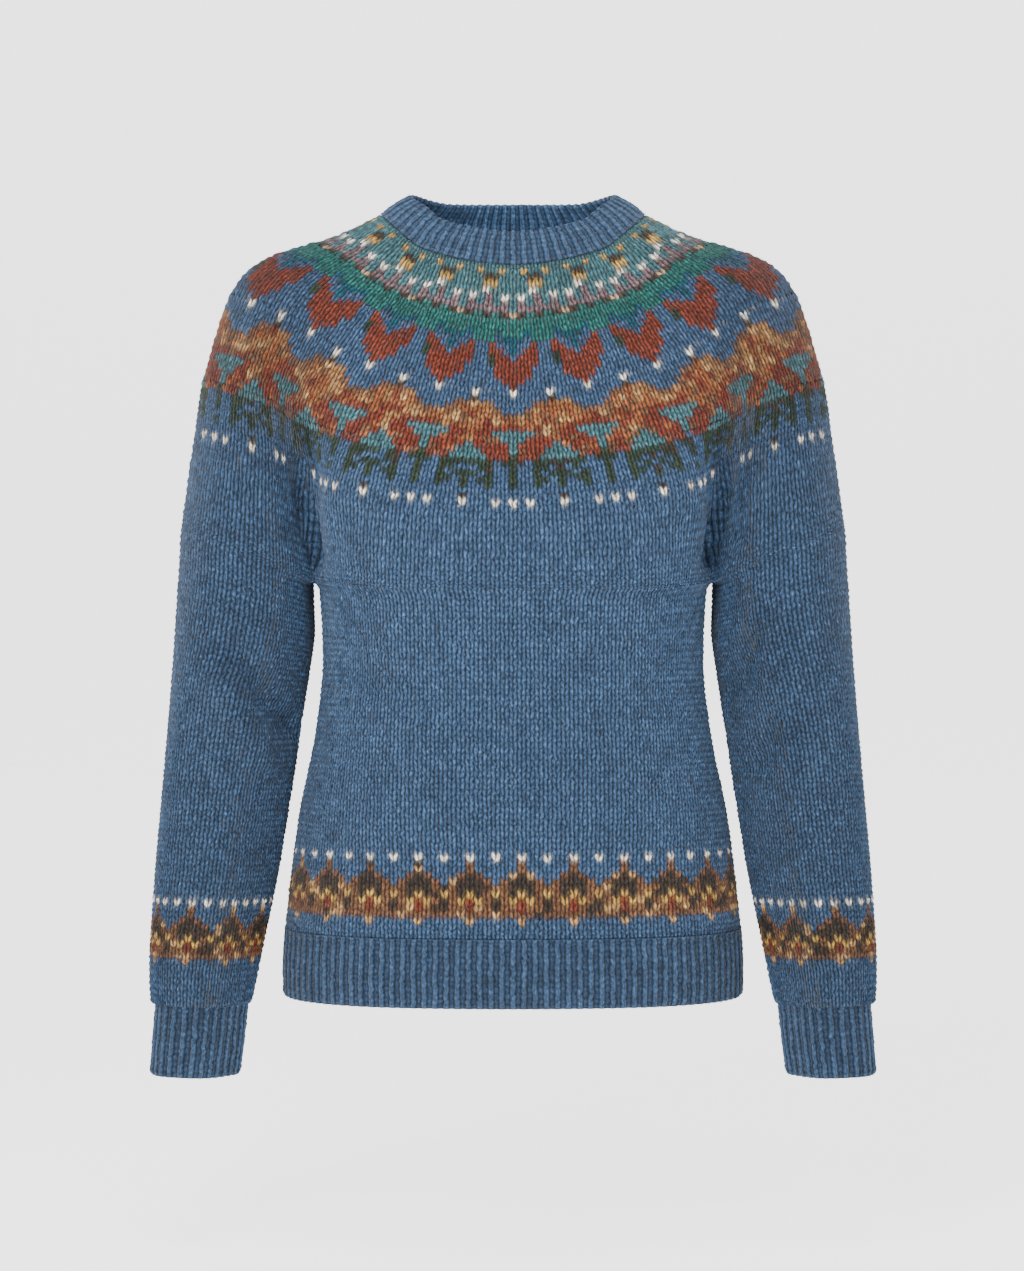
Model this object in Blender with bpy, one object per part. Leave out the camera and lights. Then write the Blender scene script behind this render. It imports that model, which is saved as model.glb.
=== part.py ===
"""Icelandic sweater: a round-yoke jumper knitted in the round, filled out as when worn.

The body and the two sleeves are tubes. Both are taken up at the underarms on to one round, from
which the yoke is worked up to the neck. Ribbed bands finish the hem, the cuffs and the neck.
Metres, +Z up, front towards -Y. Heights in the tables are above a level just under the hem.
"""

from collections import namedtuple

import bmesh
import bpy
import numpy as np

# Cloth
WALL = 0.003
SEAM = 0.0003
RIB_RISE = 0.0012

# Where the shoulders hold it: the frame's origin, above the tables' level
SHOULDERS_UP = 0.600

# Places round the cloth are counted in pattern repeats from the centre front, towards +X
REPEATS = 18
UNDERARM = 0.8
CHEST, FLANK, CREASE, ARM, OUTER, RIDGE = 1.2, 1.9, 2.5, 3.2, 3.9, 4.5
FRONT_COLUMNS = (0, 0.45, 0.9, 1.3, 1.65, 1.95, 2.2, 2.37, CREASE)
SIDE_COLUMNS = (CREASE, 2.64, 2.82, 3.05, 3.3, 3.6, 3.9, 4.2, RIDGE)
UNDERARM_COLUMNS = 4

# Ribbed bands
HEM_RIBS, NECK_RIBS, CUFF_RIBS = 96, 68, 26

YOKE_STEPS, BODY_STEPS, SLEEVE_STEPS = 12, 12, 16
# How far from a shared edge a sheet is eased towards it
EASE = 0.030

# One row a round of the yoke, from the neck down. *_up are heights at the centre front, the crease,
# the shoulder ridge and the centre back. The pairs are (side, out): how far a place on the front
# half lies from the middle and in front of it. along is measured down the centre front.
Round = namedtuple(
    "Round", "along front_up crease_up ridge_up back_up front_out back_out chest flank crease arm outer ridge"
)
YOKE_ROUNDS = (
    Round(0.000, 0.563, 0.580, 0.613, 0.603, 0.095, 0.098,
          (0.0375, 0.0885), (0.057, 0.079), (0.072, 0.0675), (0.087, 0.049), (0.098, 0.025), (0.103, -0.004)),
    Round(0.030, 0.536, 0.556, 0.598, 0.586, 0.108, 0.108,
          (0.043, 0.1035), (0.067, 0.094), (0.087, 0.082), (0.109, 0.062), (0.127, 0.032), (0.1335, -0.002)),
    Round(0.087, 0.480, 0.514, 0.567, 0.533, 0.118, 0.117,
          (0.061, 0.115), (0.094, 0.106), (0.121, 0.094), (0.150, 0.078), (0.183, 0.052), (0.208, 0.004)),
    Round(0.140, 0.427, 0.456, 0.493, 0.468, 0.120, 0.116,
          (0.078, 0.115), (0.121, 0.103), (0.155, 0.083), (0.181, 0.080), (0.215, 0.062), (0.238, 0.008)),
    Round(0.187, 0.380, 0.404, 0.439, 0.404, 0.118, 0.113,
          (0.092, 0.109), (0.138, 0.086), (0.1530, 0.050), (0.180, 0.070), (0.223, 0.063), (0.2475, 0.008)),
)

# One row a level of the body, from the underarm down. front_up and side_up are its heights at the
# centre front and at the side.
Level = namedtuple("Level", "along front_up side_up half_width front_out back_out")
BODY_LEVELS = (
    Level(0.249, 0.3180, 0.3260, 0.1555, 0.1140, 0.1080),
    Level(0.254, 0.3130, 0.3225, 0.1510, 0.1138, 0.1078),
    Level(0.268, 0.2990, 0.3060, 0.1490, 0.1130, 0.1070),
    Level(0.287, 0.2800, 0.2840, 0.1478, 0.1120, 0.1060),
    Level(0.317, 0.2500, 0.2510, 0.1480, 0.1100, 0.1030),
    Level(0.367, 0.2000, 0.2000, 0.1550, 0.1110, 0.1040),
    Level(0.417, 0.1500, 0.1500, 0.1655, 0.1140, 0.1070),
    Level(0.467, 0.1000, 0.1000, 0.1725, 0.1170, 0.1100),
    Level(0.509, 0.0580, 0.0580, 0.1770, 0.1200, 0.1130),
)
HEM_LEVELS = (
    Level(0.509, 0.0580, 0.0580, 0.1770, 0.1200, 0.1130),
    Level(0.537, 0.0300, 0.0300, 0.1785, 0.1215, 0.1140),
    Level(0.561, 0.0065, 0.0065, 0.1780, 0.1205, 0.1130),
)
BODY_SQUARENESS = 2.5

# One row a level of a sleeve. outer_up and inner_up are its heights on the outside of the arm and
# next to the body; centre_out is how far its middle lies in front of the body's.
Sleeve = namedtuple("Sleeve", "along outer_up inner_up centre_side centre_out half_width half_depth")
SLEEVE_LEVELS = (
    Sleeve(0.249, 0.3680, 0.3260, 0.2055, 0.001, 0.0510, 0.0630),
    Sleeve(0.255, 0.3600, 0.3225, 0.2080, 0.001, 0.0515, 0.0625),
    Sleeve(0.272, 0.3400, 0.3060, 0.2075, 0.001, 0.0525, 0.0620),
    Sleeve(0.300, 0.3060, 0.2820, 0.2085, 0.003, 0.0535, 0.0610),
    Sleeve(0.350, 0.2480, 0.2380, 0.2135, 0.007, 0.0520, 0.0585),
    Sleeve(0.405, 0.1900, 0.1860, 0.2195, 0.012, 0.0502, 0.0555),
    Sleeve(0.490, 0.1070, 0.1050, 0.2290, 0.020, 0.0472, 0.0500),
    Sleeve(0.560, 0.0350, 0.0340, 0.2380, 0.027, 0.0422, 0.0440),
    Sleeve(0.592, 0.0025, 0.0015, 0.2405, 0.030, 0.0385, 0.0405),
)
CUFF_LEVELS = (
    Sleeve(0.592, 0.0025, 0.0015, 0.2400, 0.030, 0.0347, 0.0370),
    Sleeve(0.620, -0.0240, -0.0250, 0.2422, 0.032, 0.0344, 0.0363),
    Sleeve(0.647, -0.0515, -0.0525, 0.2450, 0.034, 0.0336, 0.0352),
)
SLEEVE_SQUARENESS = 2.1

# Neckband: how far it has closed in and risen from the yoke's first round, at its middle and edge
Band = namedtuple("Band", "along side_scale out_scale front_rise ridge_rise back_rise")
NECK_LEVELS = (
    Band(0.000, 1.000, 1.000, 0.0000, 0.0000, 0.0000),
    Band(0.017, 0.895, 0.920, 0.0145, 0.0105, 0.0150),
    Band(0.033, 0.765, 0.845, 0.0275, 0.0195, 0.0290),
)

# The largest folds: soft troughs (depth above 0) and swells (below 0) between two places on the
# front (facing -1) or the back (facing 1), given by their distance from the middle and height
Fold = namedtuple("Fold", "facing side_a up_a side_b up_b half_width depth")
FOLDS = (
    Fold(-1, -0.214, 0.274, -0.172, 0.216, 0.013, 0.006),
    Fold(-1, -0.222, 0.240, -0.196, 0.196, 0.016, -0.003),
    Fold(-1, 0.190, 0.303, 0.171, 0.242, 0.013, 0.005),
    Fold(-1, 0.202, 0.218, 0.188, 0.184, 0.012, 0.004),
    Fold(1, -0.204, 0.282, -0.176, 0.222, 0.014, 0.005),
    Fold(1, 0.212, 0.262, 0.174, 0.206, 0.014, 0.006),
    Fold(1, -0.050, 0.262, 0.046, 0.252, 0.018, 0.004),
    Fold(1, -0.030, 0.218, 0.060, 0.206, 0.018, 0.003),
)

# Name, colour and roughness of each piece
YARNS = {
    "body": ((0.074, 0.156, 0.305, 1), 0.95),
    "hem_rib": ((0.070, 0.148, 0.292, 1), 0.95),
    "yoke": ((0.402, 0.120, 0.052, 1), 0.95),
    "neckband": ((0.066, 0.142, 0.284, 1), 0.95),
    "sleeve_left": ((0.074, 0.156, 0.305, 1), 0.95),
    "sleeve_right": ((0.074, 0.156, 0.305, 1), 0.95),
    "cuff_left": ((0.070, 0.148, 0.292, 1), 0.95),
    "cuff_right": ((0.070, 0.148, 0.292, 1), 0.95),
}


# ---------------------------------------------------------------- smooth curves through tables


def weights(knots, places, period=None):
    """A matrix that carries values at the knots to the places: a smooth curve through each knot."""
    knots = np.asarray(knots, float)
    count = len(knots)
    if period:
        spots = np.concatenate([knots[-2:] - period, knots, knots[:3] + period])
        owner = np.arange(-2, count + 3) % count
        places = np.mod(np.asarray(places, float) - knots[0], period) + knots[0]
    else:
        first, last = 2 * knots[0] - knots[1], 2 * knots[-1] - knots[-2]
        spots = np.concatenate([[first], knots, [last]])
        owner = np.clip(np.arange(-1, count + 1), 0, count - 1)
    table = np.zeros((len(places), count))
    for row, place in enumerate(places):
        i = int(np.clip(np.searchsorted(spots, place, side="right") - 1, 1, len(spots) - 3))
        step = spots[i + 1] - spots[i]
        t = (place - spots[i]) / step
        start, end = 2 * t**3 - 3 * t**2 + 1, 3 * t**2 - 2 * t**3
        leave = (t**3 - 2 * t**2 + t) * step / (spots[i + 1] - spots[i - 1])
        arrive = (t**3 - t**2) * step / (spots[i + 2] - spots[i])
        table[row, owner[i]] += start
        table[row, owner[i + 1]] += end
        table[row, owner[i + 1]] += leave
        table[row, owner[i - 1]] -= leave
        table[row, owner[i + 2]] += arrive
        table[row, owner[i]] -= arrive
    return table


def surface(knots_down, knots_round, cage, down, around, period):
    """Points of the smooth surface through a cage, at each place down and each place around."""
    rows = weights(knots_down, down)
    columns = weights(knots_round, around, period)
    return np.einsum("ri,cj,ijk->rck", rows, columns, np.asarray(cage, float))


def mix(a, b, share):
    return a + (b - a) * share


# ---------------------------------------------------------------- the cage of each tube


def body_place(level, degrees, back):
    """A place on a level of the body: degrees run from the centre front or back to the side."""
    power = 2 / BODY_SQUARENESS
    sine, cosine = np.sin(np.radians(degrees)), np.cos(np.radians(degrees))
    side = level.half_width * sine**power
    out = (level.back_out if back else -level.front_out) * max(cosine, 0) ** power
    up = mix(level.front_up, level.side_up, sine**3)
    return np.array([side, out, up])


def sleeve_place(level, degrees, back):
    """A place on a level of the right sleeve: degrees run from its outer side to its inner side."""
    power = 2 / SLEEVE_SQUARENESS
    sine, cosine = np.sin(np.radians(degrees)), np.cos(np.radians(degrees))
    side = level.centre_side + level.half_width * np.sign(cosine) * abs(cosine) ** power
    out = -level.centre_out + level.half_depth * (1 if back else -1) * max(sine, 0) ** power
    up = mix(level.inner_up, level.outer_up, (cosine + 1) / 2)
    return np.array([side, out, up])


BODY_DEGREES = {0: 0, CHEST: 33, FLANK: 56, CREASE: 78.5}
SLEEVE_DEGREES = {RIDGE: 0, OUTER: 60, ARM: 120, CREASE: 156}
MIDDLE_BACK = REPEATS / 2


def quarter_to_half(front, back):
    """Joins places {round: point} of the front and the back into a run from front to back."""
    run = dict(front)
    run.update({MIDDLE_BACK - at: point for at, point in back.items() if at < RIDGE})
    return run


def both_sides(run):
    """Adds the mirror image of a run on the side of +X."""
    loop = dict(run)
    for at, point in run.items():
        if at not in (0, MIDDLE_BACK):
            loop[REPEATS - at] = point * (-1, 1, 1)
    return loop


def yoke_half(entry, back):
    """One round of the yoke from the centre front, or back, to the shoulder ridge."""
    stretch = entry.back_out / entry.front_out if back else 1
    middle_up = entry.back_up if back else entry.front_up
    share = (entry.crease_up - entry.ridge_up) / (entry.front_up - entry.ridge_up)
    crease_up = mix(entry.ridge_up, middle_up, share)
    heights = {
        0: middle_up,
        CHEST: mix(middle_up, crease_up, 0.27),
        FLANK: mix(middle_up, crease_up, 0.62),
        CREASE: crease_up,
        ARM: mix(crease_up, entry.ridge_up, 0.42),
        OUTER: mix(crease_up, entry.ridge_up, 0.78),
        RIDGE: entry.ridge_up,
    }
    plan = {0: (0, entry.front_out), CHEST: entry.chest, FLANK: entry.flank, CREASE: entry.crease}
    plan.update({ARM: entry.arm, OUTER: entry.outer, RIDGE: entry.ridge})
    facing = 1 if back else -1
    places = {}
    for at, (side, out) in plan.items():
        y = -out if at == RIDGE else facing * out * stretch
        places[at] = np.array([side, y, heights[at]])
    return places


def underarm_round():
    """The yoke's last round: over the chest and the back it is the body's, over the arms the sleeve's."""
    level, arm = BODY_LEVELS[0], SLEEVE_LEVELS[0]
    halves = []
    for back in (False, True):
        half = {at: body_place(level, degrees, back) for at, degrees in BODY_DEGREES.items()}
        for at in (ARM, OUTER, RIDGE):
            half[at] = sleeve_place(arm, SLEEVE_DEGREES[at], back)
        halves.append(half)
    return quarter_to_half(*halves)


def loop_cage(loops):
    """The places round, in order, and the points of each loop at them."""
    around = sorted(loops[0])
    return around, [[loop[at] for at in around] for loop in loops]


def yoke_cage():
    loops = [quarter_to_half(yoke_half(entry, False), yoke_half(entry, True)) for entry in YOKE_ROUNDS]
    loops.append(underarm_round())
    down = [entry.along for entry in YOKE_ROUNDS] + [BODY_LEVELS[0].along]
    around, cage = loop_cage([both_sides(loop) for loop in loops])
    return down, around, cage


def body_cage(levels):
    """The body's places round it are the yoke's, with the underarms put in between the creases."""
    side_middle = CREASE + UNDERARM / 2
    length = 4 * side_middle
    loops = []
    for level in levels:
        loop = {}
        for at, degrees in [*BODY_DEGREES.items(), (side_middle, 90)]:
            front, back = body_place(level, degrees, False), body_place(level, degrees, True)
            loop[at] = front
            loop[2 * side_middle - at] = back
            if at:
                loop[2 * side_middle + at] = back * (-1, 1, 1)
                loop[length - at] = front * (-1, 1, 1)
        loops.append(loop)
    around, cage = loop_cage(loops)
    return [level.along for level in levels], around, cage, length


def sleeve_cage(levels, from_underarm):
    """The right sleeve, from the front crease over the arm to the back crease and under the arm."""
    back_crease = MIDDLE_BACK - CREASE
    loops = []
    for level in levels:
        loop = {}
        for at, degrees in SLEEVE_DEGREES.items():
            loop[at] = sleeve_place(level, degrees, False)
            if at < RIDGE:
                loop[MIDDLE_BACK - at] = sleeve_place(level, degrees, True)
        loop[back_crease + UNDERARM / 2] = sleeve_place(level, 180, False)
        loops.append(loop)
    if from_underarm:
        body = BODY_LEVELS[0]
        loops[0][CREASE] = body_place(body, BODY_DEGREES[CREASE], False)
        loops[0][back_crease] = body_place(body, BODY_DEGREES[CREASE], True)
        loops[0][back_crease + UNDERARM / 2] = body_place(body, 90, False)
    around, cage = loop_cage(loops)
    return [level.along for level in levels], around, cage, back_crease - CREASE + UNDERARM


def neck_cage():
    """The neckband closes in and rises from the yoke's first round."""
    first = both_sides(quarter_to_half(yoke_half(YOKE_ROUNDS[0], False), yoke_half(YOKE_ROUNDS[0], True)))
    middle = (YOKE_ROUNDS[0].back_out - YOKE_ROUNDS[0].front_out) / 2
    loops = []
    for band in NECK_LEVELS:
        loop = {}
        for at, point in first.items():
            towards_ridge = np.sin(np.pi * at / MIDDLE_BACK) ** 2
            end_rise = band.front_rise if abs(MIDDLE_BACK - at) > MIDDLE_BACK / 2 else band.back_rise
            rise = mix(end_rise, band.ridge_rise, towards_ridge)
            side, out = point[0] * band.side_scale, middle + (point[1] - middle) * band.out_scale
            loop[at] = np.array([side, out, point[2] + rise])
        loops.append(loop)
    around, cage = loop_cage(loops)
    return [band.along for band in NECK_LEVELS], around, cage


# ---------------------------------------------------------------- sheets and walls


def turned(columns, length):
    """The mirror image of columns within a stretch of this length, in rising order."""
    return [length - at for at in reversed(columns)]


def add_sheet(bm, points, label):
    """Adds a grid of faces through points[row][column] and labels them with a material index."""
    rows, columns = len(points), len(points[0])
    made = bmesh.ops.create_grid(bm, x_segments=columns - 1, y_segments=rows - 1, size=1)
    for vertex, point in zip(made["verts"], points.reshape(-1, 3)):
        vertex.co = point
    for face in {face for vertex in made["verts"] for face in vertex.link_faces}:
        face.material_index = label


def weld(bm):
    bmesh.ops.remove_doubles(bm, verts=bm.verts[:], dist=0.00001)


def fold_cloth(bm):
    """Presses the largest folds into the cloth along its normals."""
    bm.normal_update()
    pushes = []
    for vertex in bm.verts:
        side, up = vertex.co.x, vertex.co.z
        push = 0.0
        for fold in FOLDS:
            run, rise = fold.side_b - fold.side_a, fold.up_b - fold.up_a
            along = ((side - fold.side_a) * run + (up - fold.up_a) * rise) / (run**2 + rise**2)
            along = min(max(along, 0), 1)
            away = np.hypot(side - fold.side_a - along * run, up - fold.up_a - along * rise)
            shown = max(0.0, vertex.normal.y * fold.facing) ** 0.5
            push += fold.depth * shown * np.exp(-((away / fold.half_width) ** 2))
        pushes.append(vertex.normal * -push)
    for vertex, push in zip(bm.verts, pushes):
        vertex.co += push


def pull_back_edges(bm):
    """Draws each open edge back into its own cloth by half a seam's gap."""
    moves = {}
    for edge in bm.edges:
        if not edge.is_boundary:
            continue
        face = edge.link_faces[0]
        line = edge.verts[1].co - edge.verts[0].co
        inwards = face.normal.cross(line).normalized()
        if inwards.dot(face.calc_center_median() - edge.verts[0].co) < 0:
            inwards.negate()
        for vertex in edge.verts:
            moves.setdefault(vertex, []).append(inwards)
    for vertex, directions in moves.items():
        direction = (directions[0] + directions[-1]).normalized()
        lean = max(direction.dot(directions[0]), 0.5)
        vertex.co += direction * (SEAM / 2 / lean)


def set_wall(bm):
    """Notes at each vertex the way through the cloth to its inner side."""
    through = bm.verts.layers.float_vector.new("through")
    bm.normal_update()
    for vertex in bm.verts:
        vertex[through] = vertex.normal * (-WALL * min(vertex.calc_shell_factor(), 1.3))


def thicken(bm, raised=()):
    """Gives the sheet its wall inwards. Raised vertices of the outer side become the ribs' crests."""
    through = bm.verts.layers.float_vector["through"]
    crests = [(vertex, vertex.normal.copy()) for vertex in raised]
    made = bmesh.ops.extrude_face_region(bm, geom=bm.faces[:], use_keep_orig=True)
    for vertex in made["geom"]:
        if isinstance(vertex, bmesh.types.BMVert):
            vertex.co += vertex[through]
    for vertex, normal in crests:
        vertex.co += normal * RIB_RISE
    bmesh.ops.recalc_face_normals(bm, faces=bm.faces[:])


def finish(bm, name, collection):
    """Makes an object of the wall, with the shoulders at the origin and its own yarn."""
    # Split along the shorter way, so that facing rims are split alike
    bmesh.ops.triangulate(bm, faces=bm.faces[:], quad_method="SHORT_EDGE")
    bmesh.ops.translate(bm, verts=bm.verts[:], vec=(0, 0, -SHOULDERS_UP))
    mesh = bpy.data.meshes.new(name)
    bm.to_mesh(mesh)
    bm.free()
    mesh.shade_smooth()
    colour, roughness = YARNS[name]
    yarn = bpy.data.materials.new(name + "_yarn")
    yarn.use_nodes = True
    shader = yarn.node_tree.nodes["Principled BSDF"]
    shader.inputs["Base Color"].default_value = colour
    shader.inputs["Roughness"].default_value = roughness
    shader.inputs["Metallic"].default_value = 0
    mesh.materials.clear()
    mesh.materials.append(yarn)
    for polygon in mesh.polygons:
        polygon.material_index = 0
    piece = bpy.data.objects.new(name, mesh)
    collection.objects.link(piece)
    return piece


# ---------------------------------------------------------------- the plain tubes


PLAIN = ("yoke", "body", "sleeve_right", "sleeve_left")


def steps(first, last, count, closer=1.0):
    """Places from first to last, closer together near the first where closer is above 1."""
    return [first + (last - first) * (i / count) ** closer for i in range(count + 1)]


def meet(points, rows, edge, wanted, columns):
    """Eases the rows near an edge row so that its columns lie on the wanted points."""
    gap = wanted - points[edge, columns]
    for row, along in enumerate(rows):
        share = max(0.0, 1 - abs(along - rows[edge]) / EASE) ** 2
        points[row, columns] += share * gap


def plain_cloth():
    """Yoke, body and sleeves as one welded sheet, each with its own label."""
    front, side, under = len(FRONT_COLUMNS) - 1, len(SIDE_COLUMNS) - 1, UNDERARM_COLUMNS
    start = BODY_LEVELS[0].along

    down, around, cage, length = body_cage(BODY_LEVELS)
    below = list(np.linspace(CREASE, CREASE + UNDERARM, under + 1)[1:-1])
    half = [*FRONT_COLUMNS, *below, *turned(FRONT_COLUMNS, length / 2)]
    rows = steps(start, BODY_LEVELS[-1].along, BODY_STEPS, 1.35)
    body = surface(down, around, cage, rows, half + turned(half[:-1], length), length)

    down, around, cage, length = sleeve_cage(SLEEVE_LEVELS, True)
    over = [*SIDE_COLUMNS, *turned(SIDE_COLUMNS[:-1], MIDDLE_BACK)]
    below = list(np.linspace(MIDDLE_BACK - CREASE, CREASE + length, under + 1)[1:])
    rows = steps(start, SLEEVE_LEVELS[-1].along, SLEEVE_STEPS, 1.2)
    sleeve = surface(down, around, cage, rows, over + below, length)
    grafted = body[0, front : front + under + 1][::-1]
    meet(sleeve, rows, 0, grafted, slice(2 * side, None))
    sleeve[:, 0] = sleeve[:, -1]

    down, around, cage = yoke_cage()
    half = [*FRONT_COLUMNS, *SIDE_COLUMNS[1:]]
    half += turned(half[:-1], MIDDLE_BACK)
    rows = steps(0, start, YOKE_STEPS)
    yoke = surface(down, around, cage, rows, half + turned(half[:-1], REPEATS), REPEATS)
    chest, arm = body[0, : front + 1], sleeve[0, : 2 * side + 1]
    back = body[0, front + under : 3 * front + under + 1]
    last_half = [*chest, *arm[1:], *back[1 : front + 1]]
    mirrored = [point * (-1, 1, 1) for point in last_half[::-1]]
    meet(yoke, rows, -1, np.array(last_half + mirrored[1:]), slice(None))

    cloth = bmesh.new()
    add_sheet(cloth, yoke, PLAIN.index("yoke"))
    add_sheet(cloth, body, PLAIN.index("body"))
    add_sheet(cloth, sleeve, PLAIN.index("sleeve_right"))
    add_sheet(cloth, sleeve * (-1, 1, 1), PLAIN.index("sleeve_left"))
    weld(cloth)
    bmesh.ops.recalc_face_normals(cloth, faces=cloth.faces[:])
    fold_cloth(cloth)
    return cloth


def make_plain_pieces(collection):
    cloth = plain_cloth()
    set_wall(cloth)
    for label, name in enumerate(PLAIN):
        piece = cloth.copy()
        others = [face for face in piece.faces if face.material_index != label]
        bmesh.ops.delete(piece, geom=others, context="FACES")
        pull_back_edges(piece)
        thicken(piece)
        finish(piece, name, collection)
    cloth.free()


# ---------------------------------------------------------------- the ribbed bands


def make_band(name, points, collection):
    """A ribbed band: every other column of its outer side is the crest of a rib."""
    bm = bmesh.new()
    columns = len(points[0])
    add_sheet(bm, points, 0)
    bm.verts.ensure_lookup_table()
    crest = bm.verts.layers.int.new("crest")
    for index, vertex in enumerate(bm.verts):
        vertex[crest] = index % columns % 2
    weld(bm)
    bmesh.ops.recalc_face_normals(bm, faces=bm.faces[:])
    set_wall(bm)
    pull_back_edges(bm)
    thicken(bm, [vertex for vertex in bm.verts if vertex[crest]])
    finish(bm, name, collection)


def band_columns(ribs, length):
    return np.linspace(0, length, 2 * ribs + 1)


def make_bands(collection):
    down, around, cage, length = body_cage(HEM_LEVELS)
    hem = surface(down, around, cage, down, band_columns(HEM_RIBS, length), length)
    make_band("hem_rib", hem, collection)

    down, around, cage = neck_cage()
    rows = steps(down[0], down[-1], 3)
    neck = surface(down, around, cage, rows, band_columns(NECK_RIBS, REPEATS), REPEATS)
    make_band("neckband", neck, collection)

    down, around, cage, length = sleeve_cage(CUFF_LEVELS, False)
    cuff = surface(down, around, cage, steps(down[0], down[-1], 3), band_columns(CUFF_RIBS, length), length)
    make_band("cuff_right", cuff, collection)
    make_band("cuff_left", cuff * (-1, 1, 1), collection)


def main():
    for old in list(bpy.data.objects):
        bpy.data.objects.remove(old, do_unlink=True)
    collection = bpy.data.collections.new("icelandic_sweater")
    bpy.context.scene.collection.children.link(collection)
    make_plain_pieces(collection)
    make_bands(collection)


main()
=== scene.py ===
# %% [markdown]
# # A round-yoke jumper, stitch by stitch
#
# The real jumper is knitted in the round from soft, unspun wool: a plain blue body and two plain
# blue sleeves, joined at the underarms into one round, and a yoke that narrows to the neck in rings
# of coloured motifs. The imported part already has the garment's true form in smooth walls. This
# lesson dresses each wall with a thin shell whose outer side is made of real stitches: every V is
# a few faces that stand out from the cloth, and every V has its own yarn colour.

import math
from collections import namedtuple

import bmesh
import bpy
import numpy as np
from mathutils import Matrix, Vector


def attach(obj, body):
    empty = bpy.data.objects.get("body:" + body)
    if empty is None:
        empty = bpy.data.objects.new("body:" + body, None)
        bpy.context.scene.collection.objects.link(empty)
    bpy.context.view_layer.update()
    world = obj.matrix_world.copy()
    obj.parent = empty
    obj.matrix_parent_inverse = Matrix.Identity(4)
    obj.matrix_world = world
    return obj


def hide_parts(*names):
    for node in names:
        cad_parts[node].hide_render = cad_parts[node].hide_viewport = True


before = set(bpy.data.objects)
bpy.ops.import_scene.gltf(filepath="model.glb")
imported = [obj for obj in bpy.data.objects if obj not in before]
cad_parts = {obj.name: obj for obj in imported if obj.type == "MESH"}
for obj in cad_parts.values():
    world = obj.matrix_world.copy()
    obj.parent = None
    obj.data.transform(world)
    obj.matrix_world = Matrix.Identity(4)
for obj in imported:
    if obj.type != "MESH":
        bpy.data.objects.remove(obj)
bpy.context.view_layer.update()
print("the part's pieces:", ", ".join(sorted(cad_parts)))

# %% [markdown]
# ## The form of the garment
#
# The cloth follows the same tables as the part: rounds of the yoke, levels of the body and of a
# sleeve, and a neckband. A smooth curve runs through every column and row of the tables. The same
# numbers could be read off the part's meshes, but a formula gives a point for every stitch at any
# fineness, so the shells and the solids share one form. Places round the cloth are counted in
# pattern repeats from the centre front towards +X; heights are above a level just under the hem.

# %% The tables of the form
SHOULDERS_UP = 0.600
# Round the garment, in repeats: all of the yoke, the underarm, and places from the front to the side
REPEATS = 18
UNDERARM = 0.8
CHEST, FLANK, CREASE, ARM, OUTER, RIDGE = 1.2, 1.9, 2.5, 3.2, 3.9, 4.5
MIDDLE_BACK = REPEATS / 2
SIDE_MIDDLE = CREASE + UNDERARM / 2
# Rows nearer to the underarm than this are eased on to its round
EASE = 0.030

Round = namedtuple(
    "Round", "along front_up crease_up ridge_up back_up front_out back_out chest flank crease arm outer ridge"
)
YOKE_ROUNDS = (
    Round(0.000, 0.563, 0.580, 0.613, 0.603, 0.095, 0.098,
          (0.0375, 0.0885), (0.057, 0.079), (0.072, 0.0675), (0.087, 0.049), (0.098, 0.025), (0.103, -0.004)),
    Round(0.030, 0.536, 0.556, 0.598, 0.586, 0.108, 0.108,
          (0.043, 0.1035), (0.067, 0.094), (0.087, 0.082), (0.109, 0.062), (0.127, 0.032), (0.1335, -0.002)),
    Round(0.087, 0.480, 0.514, 0.567, 0.533, 0.118, 0.117,
          (0.061, 0.115), (0.094, 0.106), (0.121, 0.094), (0.150, 0.078), (0.183, 0.052), (0.208, 0.004)),
    Round(0.140, 0.427, 0.456, 0.493, 0.468, 0.120, 0.116,
          (0.078, 0.115), (0.121, 0.103), (0.155, 0.083), (0.181, 0.080), (0.215, 0.062), (0.238, 0.008)),
    Round(0.187, 0.380, 0.404, 0.439, 0.404, 0.118, 0.113,
          (0.092, 0.109), (0.138, 0.086), (0.1530, 0.050), (0.180, 0.070), (0.223, 0.063), (0.2475, 0.008)),
)
Level = namedtuple("Level", "along front_up side_up half_width front_out back_out")
BODY_LEVELS = (
    Level(0.249, 0.3180, 0.3260, 0.1555, 0.1140, 0.1080),
    Level(0.254, 0.3130, 0.3225, 0.1510, 0.1138, 0.1078),
    Level(0.268, 0.2990, 0.3060, 0.1490, 0.1130, 0.1070),
    Level(0.287, 0.2800, 0.2840, 0.1478, 0.1120, 0.1060),
    Level(0.317, 0.2500, 0.2510, 0.1480, 0.1100, 0.1030),
    Level(0.367, 0.2000, 0.2000, 0.1550, 0.1110, 0.1040),
    Level(0.417, 0.1500, 0.1500, 0.1655, 0.1140, 0.1070),
    Level(0.467, 0.1000, 0.1000, 0.1725, 0.1170, 0.1100),
    Level(0.509, 0.0580, 0.0580, 0.1770, 0.1200, 0.1130),
)
HEM_LEVELS = (
    Level(0.509, 0.0580, 0.0580, 0.1770, 0.1200, 0.1130),
    Level(0.537, 0.0300, 0.0300, 0.1785, 0.1215, 0.1140),
    Level(0.561, 0.0065, 0.0065, 0.1780, 0.1205, 0.1130),
)
BODY_SQUARENESS = 2.5
Sleeve = namedtuple("Sleeve", "along outer_up inner_up centre_side centre_out half_width half_depth")
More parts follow.
